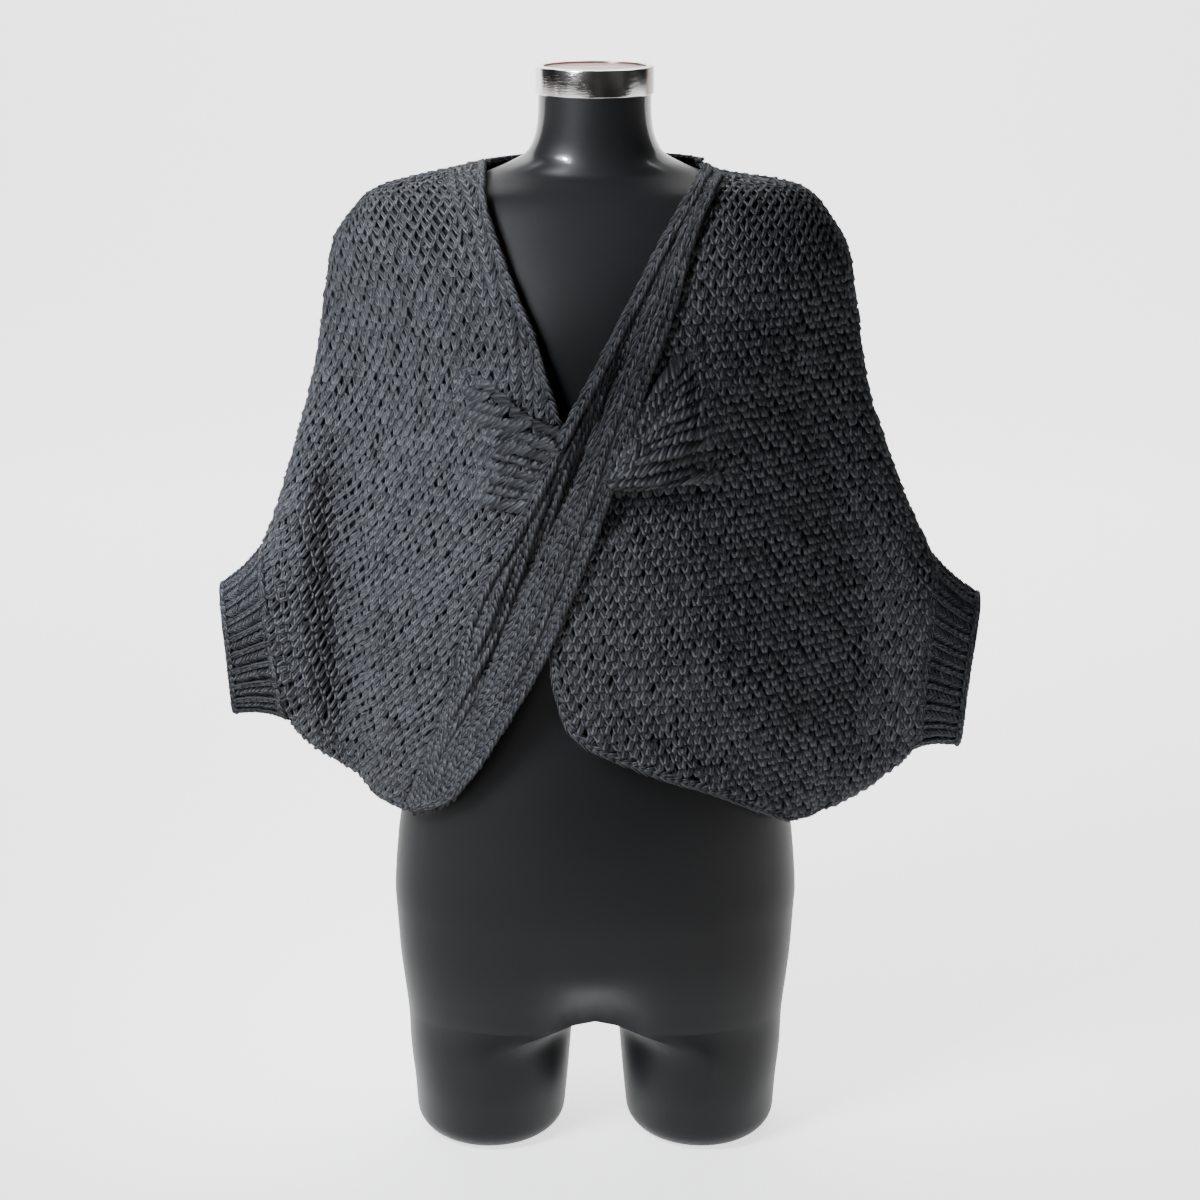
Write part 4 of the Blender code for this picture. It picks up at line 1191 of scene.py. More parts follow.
@dataclass
class Knit:
    """The stitch's own sizes and the way a piece's rows lean."""

    wale: float = 0.0096
    course: float = 0.0068
    radius: float = 0.0024
    open_radius: float = 0.0018
    tip: float = 0.0036
    open_tip: float = 0.0045
    base: float = 0.0006
    depth: float = -0.0008
    jitter: float = 0.0009
    filled: float = 0.6
    vary_lift: float = 0.0004
    side_lift: float = 0.0003  # a stitch's two sides lie this far above and below its middle
    bend: float = 0.0034  # how far a crossing strand leans either way
    sunk: float = 0.0010  # how far it lies below the stitches
    lean_out: float = 0.0  # how far the wales slant above and below lean_from
    lean_in: float = 0.0
    lean_from: float = 0.085
    lean_soft: float = 0.045

    def lean(self, t: Array) -> Array:
        """Give how far the wales have slanted aside at heights on the cloth."""
        turn = (t - self.lean_from) / self.lean_soft
        rise, fall = np.logaddexp(0, turn), np.logaddexp(0, -turn)
        return self.lean_soft * (self.lean_out * rise + self.lean_in * fall)


@dataclass
class KnittedPanel:
    """A back or a front: its ground, its lattice of stitches and the chains along its edges."""

    name: str
    slot: str
    drape: Drape
    outline: Array
    grid: Callable[[], tuple[Array, Array]]
    flat: Pair
    area: float
    edges: list[tuple[Array, float, Any]]  # path, half width and lift of each edge's chain
    straight_edge: Array
    gathers: list[tuple[Array, Any]] = field(default_factory=list)
    bare: list[Array] = field(default_factory=list)
    knit: Knit = field(default_factory=Knit)
    edge_loop: Loop = Loop(0.0064, 0.0026, 0.0021)
    purl: Purl = Purl()
    margin: float = 0.0036
    least_height: float = 0.0028  # no stitches where the cloth lies nearer the seam plane
    seed: int = 3
    parts: int = 1

    def ground(self) -> Object:
        """Build the thin wall behind the stitches."""
        x, z = self.grid()
        return cloth_wall(self.name + "_ground", self.drape.point(x, z), self.drape.normal(x, z),
                          self.drape.cloth_place(x, z))

    def openness(self, x: Array, z: Array) -> Array:
        """Tell how far the knit is pulled open, from 0 to 1, most over the shoulders."""
        return ease(0.700, 0.790, z) * ease(0.06, 0.12, np.abs(x))

    def lattice(self) -> Strands:
        """Lay V-shaped stitches over the cloth, odd rows staggered away from the inner edge.

        Returns:
            Two strands for each stitch.
        """
        knit, drape = self.knit, self.drape
        rows = np.arange(round(-0.34 / knit.course), round(0.38 / knit.course))
        columns = np.arange(round(-0.47 / knit.wale), round(0.47 / knit.wale))
        t, s = np.meshgrid(rows * knit.course, columns * knit.wale, indexing="ij")
        x, z = drape.laid(s - knit.lean(t), t)
        near = distance_to_run(x, z, self.straight_edge)
        stagger = 0.5 * ease(0.014, 0.040, near)
        chance = np.random.default_rng(self.seed)
        s = s + (rows[:, None] % 2) * stagger * knit.wale
        s = s + chance.uniform(-1, 1, s.shape) * knit.jitter
        t = t + chance.uniform(-1, 1, s.shape) * knit.jitter
        open_here = self.openness(x, z)
        tip = mix(knit.tip, knit.open_tip, open_here)
        lift = knit.depth + chance.uniform(-1, 1, s.shape) * knit.vary_lift
        radius = mix(knit.radius, knit.open_radius, open_here)
        lots = []
        for turn in (-1, 1):
            spread = turn * tip * chance.uniform(0.72, 1.22, s.shape)
            low = t + chance.uniform(-0.10, 0.06, s.shape) * knit.course
            high = t + chance.uniform(0.90, 1.14, s.shape) * knit.course
            lots.append(self.strands((s + turn * knit.base, low), (s + spread, high), radius,
                                     lift + turn * knit.side_lift, lift))
        bend = chance.uniform(-knit.bend, knit.bend, s.shape)
        low, high = t + 0.70 * knit.course, t + 1.42 * knit.course
        extra = (chance.random(s.shape) < knit.filled * (1 - open_here)) & (stagger > 0.2)
        lots.append(self.strands((s - bend, low), (s + bend, high), radius * 0.92,
                                 lift - knit.sunk, lift - knit.sunk, extra))
        return Strands.joined(lots)

    def strands(self, foot: tuple[Array, Array], head: tuple[Array, Array], radius: Array,
                low_lift: Array, high_lift: Array, wanted: Any = True) -> Strands:
        """Place strands given on the cloth, leaving out what falls outside or under a chain.

        Args:
            foot: Where each begins, across and up the cloth.
            head: Where each ends.
            radius: Yarn radius.
            low_lift: Lift of the foot off the cloth.
            high_lift: Lift of the head.
            wanted: Which are wanted at all.

        Returns:
            Those laid.
        """
        knit, drape = self.knit, self.drape
        foot, head = ((x - knit.lean(y), y) for x, y in (foot, head))
        foot, head = drape.laid(*foot), drape.laid(*head)
        start, end = drape.point(*foot, low_lift), drape.point(*head, high_lift)
        x, z = (0.5 * (a + b) for a, b in zip(foot, head))
        length = np.linalg.norm(end - start, axis=-1)
        keep = inside(x, z, self.outline) & (drape.height(x, z) > self.least_height) & wanted
        keep &= (length > 0.4 * knit.course) & (length < 3.4 * knit.course)
        for path in (*self.bare, *(edge[0] for edge in self.edges)):
            keep &= distance_to_run(x, z, path) > self.margin
        return Strands(start[keep], end[keep], drape.normal(x, z)[keep], radius[keep])

    def edge_chains(self) -> list[Strands]:
        """Lay a chain along each edge and a purl row along each gather."""
        found = []
        for path, spread, lift in self.edges:
            loop = replace(self.edge_loop, spread=spread)
            found.append(loop.chain(self.drape.point(*path.T), self.drape.normal(*path.T), lift))
        for path, lift in self.gathers:
            points, out = self.drape.point(*path.T), self.drape.normal(*path.T)
            found.append(self.purl.row(points, out, lift))
        return found

    def build(self, layer: YarnLayer) -> list[Object]:
        """Args:
            layer: The tree that lays its yarn.

        Returns:
            Its objects.
        """
        ground = self.ground()
        strands = Strands.joined([self.lattice(), *self.edge_chains()])
        order = np.argsort(strands.start[:, 2])
        yarns = []
        for k, lot in enumerate(np.array_split(order, self.parts)):
            label = self.name + "_yarn" + (f"_{k + 1}" if self.parts > 1 else "")
            yarns.append(layer.lay(label, strands.chosen(lot)))
        declare(ground, yarns, self.name, self.slot)
        return [ground, *yarns]


def cloth_wall(name: str, face: Array, out: Array, places: Array, finish: Finish = KnitGround(),
               recess: Any = 0.0022, thickness: float = 0.0009,
               tube: bool = False) -> Object:
    """Build the thin wall behind the stitches, recess below the cloth's outer face."""
    outer = face - out * recess
    return wall(name, outer, outer - out * thickness, finish, places, tube)


def stand_for(piece: Object, slot: str, *nodes: str) -> None:
    """Tell the frame where a piece rides and hide the nodes that it replaces."""
    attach(piece, "root")
    if nodes:
        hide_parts(*nodes)


def declare(ground: Object, yarns: list[Object], node: str, slot: str) -> None:
    """Tell the frame what a knitted piece stands for."""
    for piece in (ground, *yarns):
        stand_for(piece, slot, node)


@dataclass
class CrossingBand:
    """The strip that crosses over in front, from the left shoulder to the right hem."""

    form: SweaterForm
    drape: Drape
    wale: float = 0.0081
    wale_lifts: tuple[float, ...] = (0.0004, 0.0002, -0.0002, -0.0004, -0.0004, -0.0002, 0.0)
    flat: Pair = (0.062, 0.62)
    area: float = 0.025
    wale_loop: Loop = Loop(0.0070, 0.0030, 0.0023)
    sunk_loop: Loop = Loop(0.0068, 0.0030, 0.0020)
    foot_loop: Loop = Loop(0.0068, 0.0022, 0.0019)
    border_loop: Loop = Loop(0.0064, 0.0030, 0.0023)
    # share of the width, half width, lift, and how far it sinks under the hem's end
    border_lines: Pairs = (
        (0.97, 0.0026, 0.0010, 0.0), (0.03, 0.0030, 0.0010, 0.0022),
        (0.13, 0.0030, -0.0022, 0.0), (0.24, 0.0030, -0.0026, 0.0),
    )
    first_wale: float = 0.0062  # from the right edge
    last_wale: float = 0.0050  # from the left edge
    wale_drop: float = 0.0006
    end_drop: float = 0.0026  # how far a wale's ends sink further
    sunk_drop: float = 0.0022
    foot_drop: float = 0.0008
    trough: Pair = (0.40, 0.17)  # middle and half width, shares of the width
    roll: Pair = (0.03, 0.09)
    roll_height: float = 0.0028
    hem_sag: float = 0.004

    def stand(self, row: Array, share: Array) -> Array:
        """Give how far the band stands off the fronts."""
        form = self.form
        proud = form.band_proud * between(0, 1.2, 13.2, 15.6, row)
        crown = form.band_crown * between(1, 5, 12.0, 15.0, row)
        hollow = form.band_hollow * between(3, 7, 12.0, 15.0, row)
        trough, roll = (np.exp(-(((share - middle) / half) ** 2))
                        for middle, half in (self.trough, self.roll))
        rolled = self.roll_height * between(4, 7, 10.5, 13.5, row) * roll
        return proud + rolled + crown * (1 - (2 * share - 1) ** 2) - hollow * trough

    def place(self, row: Array, share: Array) -> tuple[Array, Array]:
        """Give points of the band's outer face and the direction out of them."""
        row, share = np.broadcast_arrays(np.asarray(row, float), np.asarray(share, float))
        table = along(self.form.band, row)
        last = len(self.form.band) - 1
        sag = self.hem_sag * ease(14, last, row) * share * (1 - share) * 4
        x = mix(table[..., 0], table[..., 2], share)
        z = mix(table[..., 1], table[..., 3], share) - sag
        out = self.drape.normal(x, z)
        return self.drape.point(x, z) + out * self.stand(row, share)[..., None], out

    def build(self, layer: YarnLayer) -> list[Object]:
        last = len(self.form.band) - 1
        rows, shares = np.meshgrid(steps(0, last, 6), np.linspace(0, 1, 13), indexing="ij")
        outer, out = self.place(rows, shares)
        width = np.linalg.norm(outer[:, -1] - outer[:, 0], axis=1)
        length = run_lengths(outer[:, outer.shape[1] // 2])
        places = np.stack([(shares - 1) * width[:, None],
                           np.repeat(length[:, None], shares.shape[1], axis=1)], axis=-1)
        ground = cloth_wall("crossing_band_ground", outer, out, places)
        fine = steps(0, last, 20)
        wide = np.interp(fine, rows[:, 0], width)
        strands = Strands.joined([*self.wales(fine, wide), *self.borders()])
        yarn = layer.lay("crossing_band_yarn", strands)
        declare(ground, [yarn], "crossing_band", "band_knit")
        return [ground, yarn]

    def wales(self, rows: Array, width: Array) -> list[Strands]:
        """Lay chains of stitches down the band, parallel to its right edge."""
        found = []
        for k, lift in enumerate(self.wale_lifts):
            aside = self.first_wale + k * self.wale
            fits = np.flatnonzero(aside < width - self.last_wale)
            if len(fits) < 8:
                continue
            line = rows[fits[0]:fits[-1] + 1]
            wide = width[fits[0]:fits[-1] + 1]
            points, out = self.place(line, 1 - aside / np.maximum(wide, aside + 0.004))
            fade = ease(0, 16, np.arange(len(line))) * ease(0, 10, np.arange(len(line))[::-1])
            found.append(self.wale_loop.chain(
                points, out, lift * fade - self.wale_drop - self.end_drop * (1 - fade)))
            if k % 2 == 0 or len(fits) < 60:
                continue
            points, out = self.place(line[3:], 1 - (aside + 0.5 * self.wale) /
                                     np.maximum(wide, aside + 0.008)[3:])
            found.append(self.sunk_loop.chain(points, out, -self.sunk_drop))
        return found

    def borders(self) -> list[Strands]:
        """Lay a chain down each long edge and across the foot."""
        last = len(self.form.band) - 1
        rows = steps(0.15, last, 6)
        found = []
        for share, spread, lift, sink in self.border_lines:
            points, out = self.place(rows, np.full_like(rows, share))
            loop = replace(self.border_loop, spread=spread)
            found.append(loop.chain(points, out, lift - sink * ease(8.5, 12.5, rows)))
        shares = np.linspace(0.04, 0.96, 12)
        points, out = self.place(np.full_like(shares, last - 0.05), shares)
        found.append(self.foot_loop.chain(points, out, -self.foot_drop))
        return found


@dataclass
class RibbedCuff:
    """A ribbed tube that closes the end of a sleeve, its mouth open."""

    form: SweaterForm
    front: Drape
    back: Drape
    side: Side
    flat: Pair
    area: float
    ribs: int = 20
    around_rib: int = 6  # grid columns to each rib
    rib_height: float = 0.0012
    recess: float = 0.0026
    rib_loop: Loop = Loop(0.0048, 0.0012, 0.0016)
    valley_loop: Loop = Loop(0.0034, 0.0030, 0.0014, -0.1)
    mouth_loop: Loop = Loop(0.0053, 0.0012, 0.0019)
    joint_loop: Loop = Loop(0.0070, 0.0022, 0.0016)
    # painted shade behind the ribs, set lighter than the body's ground
    ground: KnitGround = KnitGround("cuff_ground_painted_shade", (0.012, 0.012, 0.013), (0.044, 0.046, 0.050))

    def ring(self, turn: Array, share: float) -> tuple[Array, Array]:
        """Give one ring of the cuff's outer face.

        Args:
            turn: Places round the ring, 0 to 1: down the front and up the back.
            share: 0 at the seam, 1 at the mouth.

        Returns:
            The ring's points and the directions out of them.
        """
        form = self.form
        turn = np.mod(turn, 1.0)
        front = turn < 0.5
        down = np.where(front, 2 * turn, 2 - 2 * turn)
        row = form.cuff_top + down * (form.cuff_bottom - form.cuff_top)
        flat = form.cuff_place(self.side, row, np.full_like(row, share))
        ends = np.array([form.cuff_top, form.cuff_bottom], float)
        top, low = form.cuff_place(self.side, ends, np.full(2, share))
        span = float(np.hypot(*(low - top)))
        arc = np.clip(np.minimum(down, 1 - down) * span / form.wing_round, 0, 1)
        height = form.wing_half * np.sqrt(np.maximum(1 - (1 - arc) ** 2, 0))
        y = form.seam_y + np.where(front, -1, 1) * height
        return np.stack([flat[:, 0], y, flat[:, 1]], axis=-1), down

    def turns(self, count: int, share: float) -> Array:
        """Space places evenly round a ring by the distance along it."""
        dense = np.linspace(0, 1, 801)
        points, _ = self.ring(np.clip(dense, 0, 0.99999), share)
        lengths = run_lengths(points)
        return np.interp(np.arange(count) / count * lengths[-1], lengths, dense)

    def surface(self, count: int, shares: Array) -> tuple[Array, Array]:
        """Give the cuff's outer face as rings, and the directions out of it."""
        rings = np.stack([self.ring(self.turns(count, s), float(s))[0] for s in shares])
        around = np.roll(rings, -1, axis=1) - np.roll(rings, 1, axis=1)
        outward = np.gradient(rings, axis=0)
        out = unit(np.cross(outward, around))
        centre = rings.mean(axis=1, keepdims=True)
        flip = np.sign(np.sum(out * (rings - centre), axis=-1, keepdims=True))
        return rings, out * np.where(flip == 0, 1, flip)

    def build(self, layer: YarnLayer) -> list[Object]:
        name = "cuff_left" if self.side is Side.LEFT else "cuff_right"
        count, shares = self.ribs * self.around_rib, np.linspace(0, 1, 15)
        rings, out = self.surface(count, shares)
        wave = 0.5 + 0.5 * np.cos(2 * math.pi * np.arange(count) / self.around_rib)
        recess = (self.recess - wave**0.8 * self.rib_height)[None, :, None]
        places = np.stack(np.meshgrid(np.arange(count) * self.form.wing_half / count,
                                      np.arange(len(shares)) * 0.0035), axis=-1)
        ground = cloth_wall(name + "_ground", rings, out, places, self.ground, recess, tube=True)
        lots = []
        paths, ways = self.surface(self.ribs * 2, np.linspace(0.02, 0.955, 12))
        for k in range(0, 2 * self.ribs, 2):
            lots.append(self.rib_loop.chain(paths[:-1, k], ways[:-1, k], 0.0004))
            lots.append(self.valley_loop.chain(paths[-2::-1, k + 1], ways[-2::-1, k + 1],
                                               -0.0004))
        joint, joint_ways = self.surface(80, np.array([0.02, 0.05, 0.08]))
        for loop, path, way, lift in ((self.mouth_loop, paths[-1], ways[-1], -0.0003),
                                      (self.joint_loop, joint[1], joint_ways[1], -0.0002)):
            lots.append(loop.chain(np.concatenate([path, path[:1]]),
                                   np.concatenate([way, way[:1]]), lift))
        yarn = layer.lay(name + "_yarn", Strands.joined(lots))
        declare(ground, [yarn], name, "cuff_rib")
        return [ground, yarn]


# -------- the form


@dataclass
class DressForm:
    """The glossy torso: neck, chest, hips and two short thighs in one skin, and its cap."""

    segments: int = 120
    sharp: float = 40.0  # edges bent by more degrees than this stay crisp
    inner_points: int = 23
    crotch_z: float = 0.1120
    crotch_arch: float = 0.030
    crotch_tuck: float = 0.40
    tuck_width: float = 0.036
    tuck_height: float = 0.060
    hip_square: float = 0.76
    hip_top_z: float = 0.260
    thigh_morph: float = 0.075
    hip_run_on: float = 0.010
    hip_fall: tuple[float, ...] = (0.0, 0.0010, 0.0023, 0.0034)
    thigh_round: float = 0.018
    bust: float = 0.012
    bust_place: Pair = (0.062, 0.615)  # across and up
    bust_half: Pair = (0.042, 0.052)
    neck_radius: float = 0.0438
    cap_radius: float = 0.0458
    cap_base_z: float = 0.8690
    cap_height: float = 0.0215
    cap_wall: float = 0.0060
    cap_bevel: float = 0.0012
    disc_drop: float = 0.0012
    gap: float = 0.0003
    # height, half width, depth in front, depth behind
    rings: Pairs = mm(
        (112, 158, 84, 92), (120, 158.8, 86, 95), (130, 160, 88, 98), (145, 161.8, 91, 102),
        (165, 164, 94, 106), (195, 166, 97, 110), (225, 167, 99, 111), (290, 160, 98, 103),
        (360, 141, 92, 88), (430, 125, 87, 79), (500, 128, 91, 79), (540, 134, 95, 81),
        (580, 142, 100, 84), (620, 150, 104, 87), (660, 161, 102, 89), (700, 175, 97, 89),
        (735, 183, 86, 87), (755, 183, 77, 83), (771, 179, 69, 78), (783, 170, 63, 73),
        (791.8, 159, 58, 68), (796.6, 144, 55, 65), (799.7, 125, 53, 62), (803.1, 105, 51, 59),
        (806.3, 92, 49, 56), (810.8, 80, 46, 52), (816, 68, 45, 49), (823, 55, 43.5, 47),
        (832, 48.8, 43, 45.5), (842, 45.5, 43.3, 44.8), (854, 44.1, 43.7, 44.2),
        (869, 43.8, 43.8, 43.8),
    )
    # height, middle, half width, depth in front, depth behind
    thighs: Pairs = mm(
        (0, 89, 62, 68, 75), (18, 89, 63, 70, 77), (50, 88.5, 65.5, 75, 82),
        (82, 88.5, 68, 78, 86), (112, 88.5, 69, 80, 88),
    )

    def tucked(self, x: float, y: float, z: float) -> float:
        """Draw a depth in about the middle, near the height of the crotch."""
        near = math.exp(-((x / self.tuck_width) ** 2))
        height = 1 - float(ease(0, self.tuck_height, abs(z - self.crotch_z)))
        return y * (1 - self.crotch_tuck * near * height)

    def squared(self, value: float, z: float) -> float:
        """Push a sine or cosine outwards, to square the hips' ring near the crotch."""
        power = mix(self.hip_square, 1, float(ease(self.crotch_z, self.hip_top_z, z)))
        return math.copysign(abs(value) ** power, value)

    def ring(self, z: float, half: float, front: float, back: float) -> list[tuple]:
        """Give one level loop, an ellipse in front and another behind."""
        loop = []
        for i in range(self.segments):
            angle = 2 * math.pi * i / self.segments
            across, deep = self.squared(math.cos(angle), z), self.squared(math.sin(angle), z)
            x = half * across
            y = deep * (back if deep > 0 else front)
            if y < 0:
                lobe = math.exp(-sum(((value - middle) / half) ** 2 for value, middle, half
                                     in zip((abs(x), z), self.bust_place, self.bust_half)))
                y -= self.bust * lobe * min(-y / 0.04, 1)
            loop.append((x, self.tucked(x, y, z), z))
        return loop

    def thigh_ring(self, row: Sequence[float], side: int, inset: float) -> list[tuple]:
        """Give one level loop of a thigh, half of the hips' ring at the crotch."""
        z, centre, half, front, back = row
        below = self.crotch_z - z
        arch = math.sqrt(1 - (1 - min(below / self.crotch_arch, 1)) ** 2)
        outside = float(ease(0, self.thigh_morph, below))
        settled = 1 - math.exp(-below / self.hip_run_on)
        hips = [value - fall * settled for value, fall in zip(self.rings[0], self.hip_fall)]
        outer = self.segments // 2
        angles = [math.pi * (i / outer - 0.5) for i in range(outer + 1)]
        count = self.inner_points
        angles += [math.pi * (0.5 + j / (count + 1)) for j in range(1, count + 1)]
        loop = []
        for angle in angles:
            across, deep = math.cos(angle), math.sin(angle)
            depth = (back if deep > 0 else front) - inset
            x, y = centre + (half - inset) * across, deep * depth
            if across < -0.001:
                x *= arch
            else:
                share = mix(outside, arch, deep**6)
                hip_depth = hips[3] if deep > 0 else hips[2]
                x = mix(hips[1] * self.squared(across, self.crotch_z) - inset, x, share)
                y = mix(self.squared(deep, self.crotch_z) * hip_depth, y, share)
            loop.append((side * x, self.tucked(x, y, z), z))
        return loop

    def thigh_levels(self) -> list[tuple[Sequence[float], float]]:
        """Give the thigh's rows from just below the crotch to the rounded edge of its foot."""
        heights = [self.crotch_z - self.crotch_arch * share
                   for share in (0.02, 0.06, 0.12, 0.2, 0.3, 0.42, 0.58, 0.78, 1)]
        heights += list(np.linspace(0.076, self.thigh_round, 10))
        levels = [(z, 0.0) for z in heights]
        for step in range(1, 9):
            angle = math.pi * step / 16
            levels.append((self.thigh_round * (1 - math.sin(angle)),
                           self.thigh_round * (1 - math.cos(angle))))
        return [([z, *map(float, columns_at(self.thighs, z))], inset) for z, inset in levels]

    def torso(self) -> Object:
        """Build the form's skin."""
        last = len(self.rings) - 1
        places = np.concatenate([steps(0, 5, 4), steps(5, 22, 3)[1:], steps(22, last, 4)[1:]])
        shape = bmesh.new()
        rings = []
        for row in along(self.rings, places):
            rings.append([shape.verts.new(p) for p in self.ring(*(float(v) for v in row))])
        self.skin(shape, rings)
        shape.faces.new(rings[-1])
        quarter, hips = self.segments // 4, rings[0]
        front, back = hips[-quarter].co.copy(), hips[quarter].co.copy()
        crotch = []
        for j in range(1, self.inner_points + 1):
            share = 0.5 - 0.5 * math.cos(math.pi * j / (self.inner_points + 1))
            crotch.append(shape.verts.new(back.lerp(front, share)))
        for side in (-1, 1):
            half = [hips[(side * i - (quarter if side > 0 else -3 * quarter)) % self.segments]
                    for i in range(2 * quarter + 1)]
            loops = [half + crotch]
            for row, inset in self.thigh_levels():
                loops.append([shape.verts.new(p) for p in self.thigh_ring(row, side, inset)])
            self.skin(shape, loops)
            shape.faces.new(loops[-1])
        return smooth_piece("dress_form_skin", shape, GlossPlastic(), self.sharp)

    def skin(self, shape: BMesh, rings: list[list[Any]]) -> None:
        """Make the faces between loops with the same number of points."""
        count = len(rings[0])
        for first, second in zip(rings, rings[1:]):
            for j in range(count):
                k = (j + 1) % count
                shape.faces.new((first[j], first[k], second[k], second[j]))

    def turned(self, name: str, profile: Pairs, finish: Finish) -> Object:
        """Turn a closed profile of (radius, height) corners about the neck's axis."""
        shape = bmesh.new()
        rings = []
        count = self.segments + 8
        for radius, z in profile:
            angles = [2 * math.pi * i / count for i in range(count if radius else 1)]
            rings.append([shape.verts.new((radius * math.cos(angle), radius * math.sin(angle), z))
                          for angle in angles])
        closed = rings if len(rings[0]) == 1 else rings + rings[:1]
        for first, second in zip(closed, closed[1:]):
            for j in range(count):
                k = (j + 1) % count
                ring = [first[j % len(first)], first[k % len(first)],
                        second[k % len(second)], second[j % len(second)]]
                shape.faces.new(list(dict.fromkeys(ring)))
        return smooth_piece(name, shape, finish, self.sharp)

    def rounded(self, radius: float, z: float, turn_x: int, turn_z: int) -> list[tuple]:
        """Give a rounded corner's points."""
        bevel, points = self.cap_bevel, []
        for step in range(5):
            angle = math.pi / 2 * step / 4
            points.append((radius - turn_x * bevel * (1 - math.sin(angle)),
                           z - turn_z * bevel * (1 - math.cos(angle))))
        return points

    def build(self) -> list[Object]:
        """Build the form, the chrome band and the cap's top."""
        low, high = self.cap_base_z + self.gap, self.cap_base_z + self.cap_height
        hollow = self.cap_radius - self.cap_wall
        outer_low = self.rounded(self.cap_radius, low, 1, -1)
        outer_high = self.rounded(self.cap_radius, high, 1, 1)[::-1]
        profile = [(hollow, low), *outer_low, *outer_high, (hollow, high)]
        band = self.turned("neck_cap_chrome", profile, Chrome())
        top = high - self.disc_drop
        edge = hollow - self.gap
        disc = self.turned("neck_cap_top", [
            (0, low), (edge, low), *self.rounded(edge, top, 1, 1)[::-1], (0, top)], StainedCap())
        skin = self.torso()
        for piece, node, slot in ((skin, "dress_form", "black_gloss_plastic"),
                                  (band, "neck_cap_band", "cap_chrome"),
                                  (disc, "neck_cap_disc", "cap_top")):
            stand_for(piece, slot, node)
        return [skin, band, disc]


# -------- the whole


